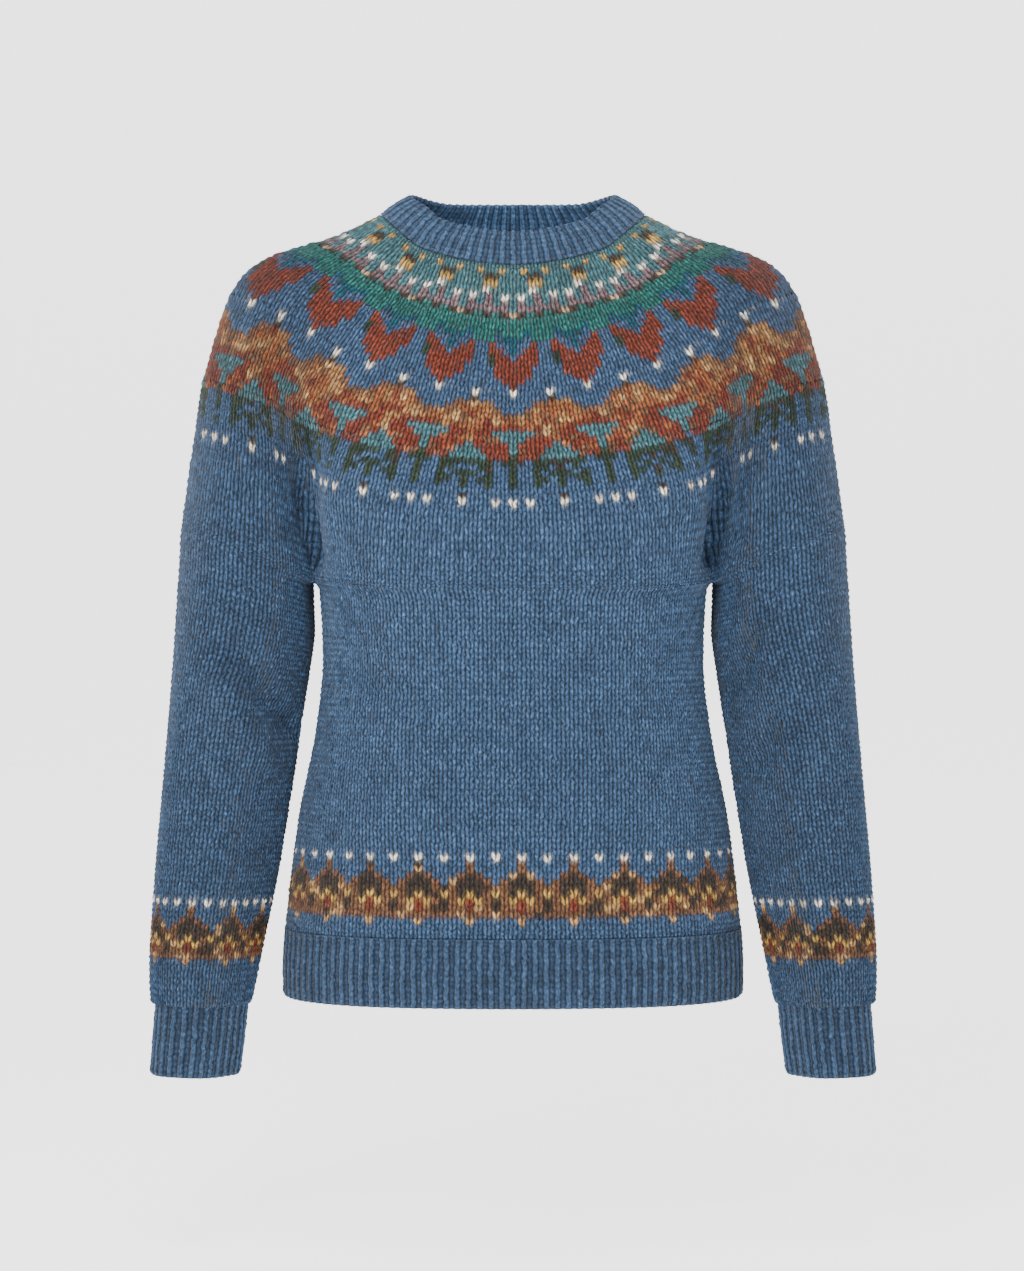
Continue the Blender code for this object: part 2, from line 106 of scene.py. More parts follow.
SLEEVE_LEVELS = (
    Sleeve(0.249, 0.3680, 0.3260, 0.2062, 0.001, 0.0520, 0.0630),
    Sleeve(0.255, 0.3600, 0.3225, 0.2072, 0.001, 0.0518, 0.0625),
    Sleeve(0.272, 0.3400, 0.3060, 0.2075, 0.001, 0.0525, 0.0620),
    Sleeve(0.300, 0.3060, 0.2820, 0.2085, 0.003, 0.0535, 0.0610),
    Sleeve(0.350, 0.2480, 0.2380, 0.2135, 0.007, 0.0520, 0.0585),
    Sleeve(0.405, 0.1900, 0.1860, 0.2195, 0.012, 0.0502, 0.0555),
    Sleeve(0.490, 0.1070, 0.1050, 0.2290, 0.020, 0.0472, 0.0500),
    Sleeve(0.560, 0.0350, 0.0340, 0.2380, 0.027, 0.0422, 0.0440),
    Sleeve(0.592, 0.0025, 0.0015, 0.2405, 0.030, 0.0385, 0.0405),
)
CUFF_LEVELS = (
    Sleeve(0.592, 0.0025, 0.0015, 0.2400, 0.030, 0.0347, 0.0370),
    Sleeve(0.620, -0.0240, -0.0250, 0.2422, 0.032, 0.0344, 0.0363),
    Sleeve(0.647, -0.0515, -0.0525, 0.2450, 0.034, 0.0336, 0.0352),
)
SLEEVE_SQUARENESS = 2.1
Band = namedtuple("Band", "along side_scale out_scale front_rise ridge_rise back_rise")
NECK_LEVELS = (
    Band(0.000, 1.000, 1.000, 0.0000, 0.0000, 0.0000),
    Band(0.017, 0.895, 0.920, 0.0145, 0.0105, 0.0150),
    Band(0.033, 0.765, 0.845, 0.0275, 0.0195, 0.0290),
)
UNDERARM_ALONG = BODY_LEVELS[0].along
print("the yoke runs", YOKE_ROUNDS[0].along, "to", UNDERARM_ALONG, "m down the centre front")

# %% A smooth surface through a table


def weights(knots, places, period=None):
    """A matrix that carries values at the knots to the places: a smooth curve through each knot."""
    knots = np.asarray(knots, float)
    places = np.asarray(places, float)
    count = len(knots)
    if period:
        spots = np.concatenate([knots[-2:] - period, knots, knots[:3] + period])
        owner = np.arange(-2, count + 3) % count
        places = np.mod(places - knots[0], period) + knots[0]
    else:
        first, last = 2 * knots[0] - knots[1], 2 * knots[-1] - knots[-2]
        spots = np.concatenate([[first], knots, [last]])
        owner = np.clip(np.arange(-1, count + 1), 0, count - 1)
    i = np.clip(np.searchsorted(spots, places, side="right") - 1, 1, len(spots) - 3)
    step = spots[i + 1] - spots[i]
    t = (places - spots[i]) / step
    leave = (t**3 - 2 * t**2 + t) * step / (spots[i + 1] - spots[i - 1])
    arrive = (t**3 - t**2) * step / (spots[i + 2] - spots[i])
    table = np.zeros((len(places), count))
    row = np.arange(len(places))
    for who, value in (
        (i, 2 * t**3 - 3 * t**2 + 1 - arrive),
        (i + 1, 3 * t**2 - 2 * t**3 + leave),
        (i - 1, -leave),
        (i + 2, arrive),
    ):
        np.add.at(table, (row, owner[who]), value)
    return table


def surface(cage, down, around):
    """Points of the smooth surface through a cage, at each place down and each place around."""
    rows = weights(cage["down"], down)
    columns = weights(cage["around"], around, cage["period"])
    return np.einsum("ri,cj,ijk->rck", rows, columns, cage["points"])


def mix(a, b, share):
    return a + (b - a) * share


def loop_cage(down, loops, period):
    """A cage from loops {place round: point}, one for each level down."""
    around = sorted(loops[0])
    points = np.array([[loop[at] for at in around] for loop in loops], float)
    return {"down": list(down), "around": around, "points": points, "period": period}


# %% [markdown]
# Down the body and the sleeves the stitches share themselves out more evenly than they do at the
# underarm, so each level has its own angles for the named places. The form stays the same; only
# the columns of stitches drift across it, as they do on a real jumper that widens to the hem.

# %% The cages of the tubes
BODY_DEGREES_TOP = {0: 0, CHEST: 33, FLANK: 56, CREASE: 78.5, SIDE_MIDDLE: 90}
BODY_DEGREES_HEM = {0: 0, CHEST: 26.5, FLANK: 49, CREASE: 71, SIDE_MIDDLE: 90}
SLEEVE_DEGREES_TOP = {RIDGE: 0, OUTER: 60, ARM: 120, CREASE: 156}
SLEEVE_DEGREES_CUFF = {RIDGE: 0, OUTER: 46, ARM: 108, CREASE: 163}
BODY_DRIFT = (0.30, 0.50)
SLEEVE_DRIFT = (0.26, 0.40)


def drifted(top, bottom, along, drift):
    """The angles of the named places at this level."""
    t = min(max((along - drift[0]) / (drift[1] - drift[0]), 0), 1)
    share = t * t * (3 - 2 * t)
    return {at: mix(top[at], bottom[at], share) for at in top}


def body_place(level, degrees, back):
    """A point of the body's rounded section, at an angle from the middle of its front or back."""
    power = 2 / BODY_SQUARENESS
    sine, cosine = math.sin(math.radians(degrees)), math.cos(math.radians(degrees))
    side = level.half_width * sine**power
    out = (level.back_out if back else -level.front_out) * max(cosine, 0) ** power
    return np.array([side, out, mix(level.front_up, level.side_up, sine**3)])


def sleeve_place(level, degrees, back):
    """A point of the sleeve's rounded section, at an angle from its outer side."""
    power = 2 / SLEEVE_SQUARENESS
    sine, cosine = math.sin(math.radians(degrees)), math.cos(math.radians(degrees))
    side = level.centre_side + level.half_width * math.copysign(abs(cosine) ** power, cosine)
    out = -level.centre_out + level.half_depth * (1 if back else -1) * max(sine, 0) ** power
    return np.array([side, out, mix(level.inner_up, level.outer_up, (cosine + 1) / 2)])


def quarter_to_half(front, back):
    """The places of one half, from the middle of the front to the middle of the back."""
    run = dict(front)
    run.update({MIDDLE_BACK - at: point for at, point in back.items() if at < RIDGE})
    return run


def both_sides(run):
    """A whole round from one half and its mirror image."""
    loop = dict(run)
    for at, point in run.items():
        if at not in (0, MIDDLE_BACK):
            loop[REPEATS - at] = point * (-1, 1, 1)
    return loop


# Heights of the named places, as shares of the way from the middle to the crease, and from the
# crease to the ridge of the shoulder
CHEST_DROP, FLANK_DROP, ARM_RISE, OUTER_RISE = 0.27, 0.62, 0.42, 0.78


def yoke_half(entry, back):
    """The named places of a yoke round, over one half of its front or back."""
    stretch = entry.back_out / entry.front_out if back else 1
    middle_up = entry.back_up if back else entry.front_up
    share = (entry.crease_up - entry.ridge_up) / (entry.front_up - entry.ridge_up)
    crease_up = mix(entry.ridge_up, middle_up, share)
    heights = {
        0: middle_up,
        CHEST: mix(middle_up, crease_up, CHEST_DROP),
        FLANK: mix(middle_up, crease_up, FLANK_DROP),
        CREASE: crease_up,
        ARM: mix(crease_up, entry.ridge_up, ARM_RISE),
        OUTER: mix(crease_up, entry.ridge_up, OUTER_RISE),
        RIDGE: entry.ridge_up,
    }
    plan = {0: (0, entry.front_out), CHEST: entry.chest, FLANK: entry.flank, CREASE: entry.crease}
    plan.update({ARM: entry.arm, OUTER: entry.outer, RIDGE: entry.ridge})
    facing = 1 if back else -1
    places = {}
    for at, (side, out) in plan.items():
        y = -out if at == RIDGE else facing * out * stretch
        places[at] = np.array([side, y, heights[at]])
    return places


def underarm_round():
    """Half of the yoke's last round, which runs over the body's top and over the sleeve's."""
    halves = []
    for back in (False, True):
        half = {}
        for at in (0, CHEST, FLANK, CREASE):
            half[at] = body_place(BODY_LEVELS[0], BODY_DEGREES_TOP[at], back)
        for at in (ARM, OUTER, RIDGE):
            half[at] = sleeve_place(SLEEVE_LEVELS[0], SLEEVE_DEGREES_TOP[at], back)
        halves.append(half)
    return quarter_to_half(*halves)


def yoke_cage():
    loops = [quarter_to_half(yoke_half(entry, False), yoke_half(entry, True)) for entry in YOKE_ROUNDS]
    loops.append(underarm_round())
    down = [entry.along for entry in YOKE_ROUNDS] + [UNDERARM_ALONG]
    return loop_cage(down, [both_sides(loop) for loop in loops], REPEATS)


def body_cage(levels):
    length = 4 * SIDE_MIDDLE
    loops = []
    for level in levels:
        loop = {}
        angles = drifted(BODY_DEGREES_TOP, BODY_DEGREES_HEM, level.along, BODY_DRIFT)
        for at, degrees in angles.items():
            front, back = body_place(level, degrees, False), body_place(level, degrees, True)
            loop[at] = front
            loop[2 * SIDE_MIDDLE - at] = back
            if at:
                loop[2 * SIDE_MIDDLE + at] = back * (-1, 1, 1)
                loop[length - at] = front * (-1, 1, 1)
        loops.append(loop)
    return loop_cage([level.along for level in levels], loops, length)


def sleeve_cage(levels, from_underarm):
    back_crease = MIDDLE_BACK - CREASE
    loops = []
    for level in levels:
        loop = {}
        angles = drifted(SLEEVE_DEGREES_TOP, SLEEVE_DEGREES_CUFF, level.along, SLEEVE_DRIFT)
        for at, degrees in angles.items():
            loop[at] = sleeve_place(level, degrees, False)
            if at < RIDGE:
                loop[MIDDLE_BACK - at] = sleeve_place(level, degrees, True)
        loop[back_crease + UNDERARM / 2] = sleeve_place(level, 180, False)
        loops.append(loop)
    if from_underarm:
        body = BODY_LEVELS[0]
        loops[0][CREASE] = body_place(body, BODY_DEGREES_TOP[CREASE], False)
        loops[0][back_crease] = body_place(body, BODY_DEGREES_TOP[CREASE], True)
        loops[0][back_crease + UNDERARM / 2] = body_place(body, 90, False)
    return loop_cage([level.along for level in levels], loops, back_crease - CREASE + UNDERARM)


# The band is soft where it turns at the sides of the neck, so its corner there is rounded off
CORNER_AT, CORNER_WIDTH, CORNER_DROP = 4.2, 0.7, 0.15


def neck_cage():
    first = both_sides(quarter_to_half(yoke_half(YOKE_ROUNDS[0], False), yoke_half(YOKE_ROUNDS[0], True)))
    middle = (YOKE_ROUNDS[0].back_out - YOKE_ROUNDS[0].front_out) / 2
    loops = []
    for band in NECK_LEVELS:
        loop = {}
        for at, point in first.items():
            towards_ridge = math.sin(math.pi * at / MIDDLE_BACK) ** 2
            end_rise = band.front_rise if abs(MIDDLE_BACK - at) > MIDDLE_BACK / 2 else band.back_rise
            rise = mix(end_rise, band.ridge_rise, towards_ridge)
            side, out = point[0] * band.side_scale, middle + (point[1] - middle) * band.out_scale
            from_corner = (min(at, REPEATS - at) - CORNER_AT) / CORNER_WIDTH
            rounded = CORNER_DROP * band.along * math.exp(-(from_corner**2))
            loop[at] = np.array([side, out, point[2] + rise - rounded])
        loops.append(loop)
    return loop_cage([band.along for band in NECK_LEVELS], loops, REPEATS)


CAGES = {
    "yoke": yoke_cage(),
    "body": body_cage(BODY_LEVELS),
    "hem": body_cage(HEM_LEVELS),
    "sleeve": sleeve_cage(SLEEVE_LEVELS, True),
    "cuff": sleeve_cage(CUFF_LEVELS, False),
    "neck": neck_cage(),
}
print("cages:", {name: cage["points"].shape[:2] for name, cage in CAGES.items()})

# %% [markdown]
# Where the tubes meet, their edges have to be one line. The yoke's last round is eased on to the
# body's first level over the chest and back, and on to the sleeve's over the arms; the sleeve's
# underarm is eased on to the body's.

# %% Joining the tubes at the underarm
BACK_CREASE = MIDDLE_BACK - CREASE
# The yoke has the arms between its creases, the body only the underarms
ARMS_EXTRA = BACK_CREASE - CREASE - UNDERARM


def eased(points, down, shift):
    """Eases the rows near the underarm by the shift of the underarm's own round."""
    share = np.clip(1 - np.abs(np.asarray(down) - UNDERARM_ALONG) / EASE, 0, None) ** 2
    return points + share[:, None, None] * shift[None]


def body_rows(down, at):
    return surface(CAGES["body"], down, at)


def sleeve_rows(down, at):
    """The right sleeve's rows, eased under the arm on to the body's first round."""
    at = np.mod(np.asarray(at) - CREASE, CAGES["sleeve"]["period"]) + CREASE
    own = surface(CAGES["sleeve"], [UNDERARM_ALONG], at)[0]
    grafted = body_rows([UNDERARM_ALONG], BACK_CREASE + CREASE + UNDERARM - at)[0]
    shift = np.where((at > BACK_CREASE)[:, None], grafted - own, 0)
    return eased(surface(CAGES["sleeve"], down, at), down, shift)


def below_yoke(down, at):
    """Rows under the yoke's last round: the body's over the chest and back, the sleeves' over the arms."""
    at = np.mod(np.asarray(at), REPEATS)
    left = at > MIDDLE_BACK
    half = np.where(left, REPEATS - at, at)
    chest, back = body_rows(down, half), body_rows(down, half - ARMS_EXTRA)
    arm = sleeve_rows(down, np.clip(half, CREASE + 1e-6, BACK_CREASE - 1e-6))
    in_front, behind = (half < CREASE)[None, :, None], (half > BACK_CREASE)[None, :, None]
    points = np.where(in_front, chest, np.where(behind, back, arm))
    return points * np.where(left[:, None], np.array([[-1, 1, 1]]), 1)


def yoke_rows(down, at):
    own = surface(CAGES["yoke"], [UNDERARM_ALONG], at)[0]
    shift = below_yoke([UNDERARM_ALONG], at)[0] - own
    return eased(surface(CAGES["yoke"], down, at), down, shift)


def smooth_form(tube, down, at):
    """The cloth's outer side before its folds. Past the underarm it runs on into the next tube."""
    down, at = np.asarray(down, float), np.asarray(at, float)
    if tube == "yoke":
        points = yoke_rows(down, at)
        past = down > UNDERARM_ALONG + 1e-9
        if past.any():
            points[past] = below_yoke(down[past], at)
        return points
    if tube == "sleeve":
        points, place = sleeve_rows(down, at), np.mod(at - CREASE, CAGES["sleeve"]["period"]) + CREASE
        shared = place < BACK_CREASE
    elif tube == "body":
        points = body_rows(down, at)
        half = CAGES["body"]["period"] / 2
        turned = np.minimum(np.mod(at, 2 * half), 2 * half - np.mod(at, 2 * half))
        shared = (turned < CREASE) | (turned > CREASE + UNDERARM)
        place = np.where(turned > CREASE, turned + ARMS_EXTRA, turned)
        place = np.where(np.mod(at, 2 * half) > half, REPEATS - place, place)
    else:
        return surface(CAGES[tube], down, at)
    above = down < UNDERARM_ALONG - 1e-9
    if above.any():
        points[np.ix_(above, shared)] = yoke_rows(down[above], place[shared])
    return points


print("the yoke's edge passes the crease at", np.round(below_yoke([UNDERARM_ALONG], [CREASE])[0, 0], 4))

# %% [markdown]
# ## Folds
#
# Heavy wool falls in a few soft folds where the sleeves bend towards the body. Each is a trough or
# a swell between two places, pressed into the cloth along its normal and fading out at its sides.
# A cloth simulation could make folds too, but not these ones in these places. The first eight are
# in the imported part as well; the finer ones are only here, on the front, and on the back where
# similar ones would lie.

# %% The folds
Fold = namedtuple("Fold", "facing side_a up_a side_b up_b half_width depth")
FOLDS = (
    Fold(-1, -0.214, 0.274, -0.172, 0.216, 0.013, 0.006),
    Fold(-1, -0.222, 0.240, -0.196, 0.196, 0.016, -0.003),
    Fold(-1, 0.190, 0.303, 0.171, 0.242, 0.013, 0.005),
    Fold(-1, 0.202, 0.218, 0.188, 0.184, 0.012, 0.004),
    Fold(1, -0.204, 0.282, -0.176, 0.222, 0.014, 0.005),
    Fold(1, 0.212, 0.262, 0.174, 0.206, 0.014, 0.006),
    Fold(1, -0.050, 0.262, 0.046, 0.252, 0.018, 0.004),
    Fold(1, -0.030, 0.218, 0.060, 0.206, 0.018, 0.003),
    # Only here: the grooves between the sleeves and the body, and the hollows beside them
    Fold(-1, -0.163, 0.414, -0.151, 0.342, 0.0048, 0.010),
    Fold(-1, 0.163, 0.414, 0.151, 0.342, 0.0048, 0.010),
    Fold(-1, -0.174, 0.432, -0.165, 0.366, 0.012, 0.006),
    Fold(-1, 0.174, 0.432, 0.165, 0.366, 0.012, 0.006),
    Fold(1, -0.162, 0.416, -0.151, 0.343, 0.005, 0.008),
    Fold(1, 0.163, 0.410, 0.151, 0.343, 0.005, 0.009),
    Fold(1, -0.172, 0.428, -0.165, 0.366, 0.012, 0.004),
    # Sharper troughs along the sleeves' bends, and the swells beside them
    Fold(-1, -0.214, 0.272, -0.168, 0.208, 0.009, 0.007),
    Fold(-1, -0.222, 0.246, -0.186, 0.190, 0.012, -0.004),
    Fold(-1, -0.232, 0.150, -0.196, 0.128, 0.012, 0.002),
    Fold(-1, 0.192, 0.305, 0.170, 0.246, 0.008, 0.005),
    Fold(-1, 0.206, 0.222, 0.186, 0.186, 0.008, 0.004),
    Fold(-1, 0.236, 0.160, 0.204, 0.132, 0.012, 0.002),
    Fold(1, -0.214, 0.200, -0.188, 0.160, 0.011, 0.004),
    Fold(1, 0.222, 0.176, 0.194, 0.144, 0.012, 0.004),
    # Faint pulls from the underarms over the chest and the waist
    Fold(-1, -0.140, 0.352, -0.094, 0.398, 0.012, 0.0025),
    Fold(-1, 0.140, 0.350, 0.098, 0.392, 0.012, 0.0020),
    Fold(-1, -0.128, 0.262, -0.070, 0.236, 0.016, 0.0020),
    Fold(-1, 0.126, 0.250, 0.074, 0.222, 0.016, 0.0022),
    Fold(1, -0.120, 0.330, -0.060, 0.372, 0.014, 0.0030),
    Fold(1, 0.124, 0.326, 0.070, 0.360, 0.014, 0.0030),
)


def normals_of(points):
    """Normals of a round of points[row][column], facing out of the tube."""
    along = np.gradient(points, axis=0)
    across = np.roll(points, -1, axis=1) - np.roll(points, 1, axis=1)
    normal = np.cross(along, across)
    normal /= np.maximum(np.linalg.norm(normal, axis=2, keepdims=True), 1e-12)
    outwards = np.sum(normal * (points - points.mean(axis=1, keepdims=True)))
    return normal if outwards > 0 else -normal


def folded(points, sign):
    """Presses the folds into the cloth. sign is -1 for a tube that is going to be mirrored."""
    normal = normals_of(points)
    side, up = points[..., 0] * sign, points[..., 2]
    push = np.zeros(side.shape)
    for fold in FOLDS:
        run, rise = fold.side_b - fold.side_a, fold.up_b - fold.up_a
        along = ((side - fold.side_a) * run + (up - fold.up_a) * rise) / (run**2 + rise**2)
        along = np.clip(along, 0, 1)
        away = np.hypot(side - fold.side_a - along * run, up - fold.up_a - along * rise)
        shown = np.maximum(0.0, normal[..., 1] * fold.facing) ** 0.5
        push += fold.depth * shown * np.exp(-((away / fold.half_width) ** 2))
    return points - normal * push[..., None]


print("folds:", len(FOLDS))

# %% [markdown]
# ## Yarns and charts
#
# A knitter works colours from a chart: one row of letters for each row of stitches, one repeat
# wide. The charts here are drawn the same way. The count of stitches in a repeat drops towards the
# neck, because the real yoke is decreased in rings to fit the shoulders.

# %% The yarns
# Each yarn's colour as it looks on the finished cloth, in steps of 255. Cream is taken past 255, so
# that it still shines between the painted shade of the gaps
YARNS_SEEN = {
    "b": (65, 94, 129),  # denim blue
    "t": (72, 120, 128),  # teal
    "m": (208, 164, 84),  # mustard
    "k": (62, 50, 40),  # dark brown
    "w": (272, 262, 246),  # cream
    "v": (132, 108, 112),  # mauve
    "p": (205, 165, 130),  # peach
    "s": (36, 110, 104),  # sea green
    "d": (12, 84, 102),  # dark teal
    "r": (128, 55, 35),  # rust
    "o": (160, 92, 52),  # orange
    "a": (176, 124, 74),  # amber
    "y": (206, 160, 104),  # pale tan
    "n": (124, 84, 56),  # tan brown
    "g": (46, 62, 44),  # dark green
}
# Mottled yarn: each stitch takes one of these
MOTTLED = {"x": "rooaanyo", "z": "rrrorrn", "q": "kggggbg", "h": "nnnynknn"}
# The lamps and the material's painted light and shade brighten the yarn by about as much as this takes off
YARN_GAIN = 0.54


def linear(step):
    share = step / 255
    return share / 12.92 if share <= 0.04045 else ((share + 0.055) / 1.055) ** 2.4


YARNS = {letter: tuple(linear(step) * YARN_GAIN for step in seen) for letter, seen in YARNS_SEEN.items()}
print("yarns:", len(YARNS))

# %% The charts, one repeat wide
DOTS = ("tttttt", "tttttt", "tmttmt", "ttkktt", "ttmmtt", "ttwttt")
RING = ("twtvtw", "tvtvtv", "tvvvvv", "pksksk")
SEA = ("ssssssss", "ssssssss", "ssdsssds", "ddbsssbd")
HEARTS = (
    "dbbrbbrbb",
    "dbrrbbrrb",
    "brrrbbgrr",
    "rrrrbbgrr",
    "rrrbbbbrr",
    "rrrbbbbrr",
    "rrbbbbbbr",
    "rbbbbbbbb",
)
PEAKS = (
    "wbbbbwbbbb",
    "bbbbbkbbbb",
    "bbbnnxaabb",
    "bbnxxxxxnb",
    "nanxxxxxan",
    "xxxxzxxxxx",
    "zzxxxxxzzz",
    "tttzxxzztt",
    "ttzzxxzzzt",
    "tzzzztzzzz",
    "tzzztttzzz",
)
TREES = (
    "qzzztttttzzz",
    "qqbgqqqqqqbq",
    "gbbqgbqbgqbb",
    "gbbgbgqgbgbb",
    "qbbggbqbggbb",
    "gbbgbbgbbgbb",
    "bbbbbbbbbbbb",
    "bbbbbbkbbbbb",
    "wbwbbbwbbbwb",
)
WAVE = (
    "wbbwbb",
    "hbbbbb",
    "hbbbbb",
    "khbbbh",
    "kkhbhk",
    "kkhhhk",
    "mkhmhk",
    "rmhkhm",
    "rhhkhh",
    "hhhhhh",
    "ybbbbb",
)


def turned_by(chart, stitches):
    """A chart whose first stitch has moved this many stitches to the right."""
    return tuple(row[-stitches:] + row[:-stitches] for row in chart)


WAVE = turned_by(WAVE, 1)
SLEEVE_WAVE = ("bwbwbw",) + WAVE[1:]
NAMES = ("dots", "ring", "sea", "hearts", "peaks", "trees", "wave")
for name, chart in zip(NAMES, (DOTS, RING, SEA, HEARTS, PEAKS, TREES, WAVE)):
    assert len({len(row) for row in chart}) == 1, name
    print(f"{name}: {len(chart)} rows of {len(chart[0])} stitches")

# %% [markdown]
# ## How a stitch stands out
#
# A knit stitch shows as a V: two strands that lean apart upwards, rounded across and pinched where
# the next row pulls through. Each stitch gets four columns of points: the gap beside it, its left
# strand, the dip at its middle, and its right strand. A rib gets eight, which round its ridge. The
# rows are zigzag lines, higher at the gaps than at the middle, so that the faces between two lines
# make the V. A displacement map could do this with far more faces; a zigzag grid spends them only
# where the wool turns.

# %% Columns of points across a stitch
# Column: place across the stitch, rows it is raised by, and height at the pinch and at mid-strand
Column = namedtuple("Column", "across raised pinch middle")
SLANT = 0.65
PLAIN = (
    Column(0.00, SLANT, -0.00110, -0.00095),
    Column(0.25, SLANT / 2, -0.00015, 0.00055),
    Column(0.50, 0.0, -0.00100, -0.00060),
    Column(0.75, SLANT / 2, -0.00015, 0.00055),
)
RIB = (
    Column(0.00, 0.45, -0.00090, -0.00030),
    Column(0.13, 0.45, -0.00100, -0.00070),
    Column(0.26, 0.35, -0.00070, -0.00060),
    Column(0.38, 0.25, 0.00040, 0.00075),
    Column(0.50, 0.00, 0.00080, 0.00105),
    Column(0.62, 0.25, 0.00040, 0.00075),
    Column(0.74, 0.35, -0.00070, -0.00060),
    Column(0.87, 0.45, -0.00100, -0.00070),
)
# The ribs rise out of the plain cloth over the first rows: their share of height at each half row
RIB_START = (0.25, 0.45, 0.65, 0.85)
# Inside a band the furrows are the ridges. Heights are towards the outside
RIB_INSIDE = (
    Column(0.00, 0.0, -0.00070, -0.00110),
    Column(0.13, 0.0, -0.00050, -0.00080),
    Column(0.23, 0.0, 0.00020, 0.00010),
    Column(0.36, 0.0, 0.00090, 0.00070),
    Column(0.50, 0.0, 0.00110, 0.00080),
    Column(0.64, 0.0, 0.00090, 0.00070),
    Column(0.77, 0.0, 0.00020, 0.00010),
    Column(0.87, 0.0, -0.00050, -0.00080),
)
PLAIN_INSIDE = tuple(Column(column.across, 0.0, 0.0, 0.0) for column in PLAIN)
WALL = 0.0026

# A zone's first row, rows and stitches, its shift in stitches, and how its first and last edges lie:
# they may run on into the next tube, lap over the zone beside them, tuck under it, or roll in
Zone = namedtuple("Zone", "first rows stitches shift chart texture edges")
# Heights added to the edge line and to the line beside it
EDGE_LIFT = {
    "run on": (0, 0),
    "lap": (0.0007, 0.0003),
    "tuck": (-0.0007, -0.0003),
    "roll": (-0.0013, -0.0003),
}
# How unevenly the stitches lie: along the round and out of the cloth in metres, up and down in rows
UNEVEN_SIDE, UNEVEN_OUT, UNEVEN_ROWS = 0.00034, 0.00020, 0.08
ZONE_SEED = 1000
# Near a crease, in repeats, the edge's zigzag is straightened, so that the two tubes share one line
FLAT_TO, FULL_FROM = 0.06, 0.36
# The form is worked out this many half rows beyond a zone
BEYOND = 4


def near_crease(at, creases):
    """0 at a crease, rising to 1 a little way off."""
    away = np.min([np.abs(at - crease) for crease in creases], axis=0)
    return np.clip((away - FLAT_TO) / (FULL_FROM - FLAT_TO), 0, 1)


def knit_points(tube, zone, along_of, at_of, sign, meets=None, wall=0.0):
    """The points of a zone of stitches, with each column's and each row's stitch place."""
    rows, count, columns_each = zone.rows, zone.stitches, len(zone.texture)
    steps = np.arange(2 * rows + 1) / 2
    u = np.add.outer(np.arange(count), [column.across for column in zone.texture]).ravel()
    at = at_of(u - 0.5 + zone.shift, count)
    # The form on straight rows
    fine = np.arange(-BEYOND, 2 * rows + BEYOND + 1) / 2
    form = folded(smooth_form(tube, along_of(zone.first + fine), at), sign)
    normal = normals_of(form)
    sideways = np.roll(form, -1, axis=1) - np.roll(form, 1, axis=1)
    sideways /= np.linalg.norm(sideways, axis=2, keepdims=True)
    # How much of its zigzag an edge keeps: all of it where it laps, none where it tucks or rolls
    going = meets(at) if meets else np.zeros(len(at))
    reach = {"run on": going, "lap": 1.0 if tube != "neck" else 0.0, "tuck": 0.0, "roll": 0.0}
    fade_in = np.minimum(1, steps[:, None] + reach[zone.edges[0]])
    past_end = reach["run on"] if zone.edges[1] == "run on" else 0.0
    fade_out = np.minimum(1, (rows - steps)[:, None] + past_end)
    raised = np.tile([column.raised for column in zone.texture], count)
    # The neckband's rows are counted upwards, so there the V's are turned over
    if tube == "neck":
        raised = -raised
    v = steps[:, None] - raised[None] * np.minimum(fade_in, fade_out)
    # Each zone draws its own unevenness. Its first and last lines stay even, as does the inner wall
    random = np.random.default_rng(ZONE_SEED + 10 * zone.first + count)
    jitter = np.repeat(random.normal(size=(3, len(steps), count)), columns_each, axis=2)
    jitter[:, [0, -1]] = 0
    if wall:
        jitter[:] = 0
    v = v + jitter[0] * UNEVEN_ROWS
    place = (v - fine[0]) * 2
    low = np.clip(place.astype(int), 0, len(fine) - 2)
    share = (place - low)[..., None]
    columns = np.arange(len(u))[None]
    points = mix(form[low, columns], form[low + 1, columns], share)
    out = mix(normal[low, columns], normal[low + 1, columns], share)
    along_round = mix(sideways[low, columns], sideways[low + 1, columns], share)
    pinch = np.tile([column.pinch for column in zone.texture], count)
    middle = np.tile([column.middle for column in zone.texture], count)
    height = np.where((np.arange(len(steps)) % 2 == 0)[:, None], pinch, middle)
    if zone.texture is RIB:
        height[: len(RIB_START)] *= np.array(RIB_START)[:, None]
    lifts = [EDGE_LIFT[edge] for edge in zone.edges]
    facing = -1 if wall else 1
    for index, lift in ((0, lifts[0][0]), (1, lifts[0][1]), (-1, lifts[1][0]), (-2, lifts[1][1])):
        height[index] += lift * facing
    height = height + jitter[1] * UNEVEN_OUT - wall
    return points + out * height[..., None] + along_round * (jitter[2] * UNEVEN_SIDE)[..., None], u, steps


print("a plain stitch has", len(PLAIN) * 2, "faces and a rib", len(RIB) * 2)

# %% [markdown]
# ## Making a tube of knitting
#
# Each zone starts as one flat grid, `create_grid`, whose points are then moved to their places, and
# whose two ends are welded where the round closes. The last zone's grid turns in at the rim and runs
# back up as the plain inner wall, so the rim needs no seam. `bridge_loops` joins one zone to the
# next and the inner wall to the first zone. A tube with a single zone is welded there instead.

# %% A round of faces
WELD = 1e-7


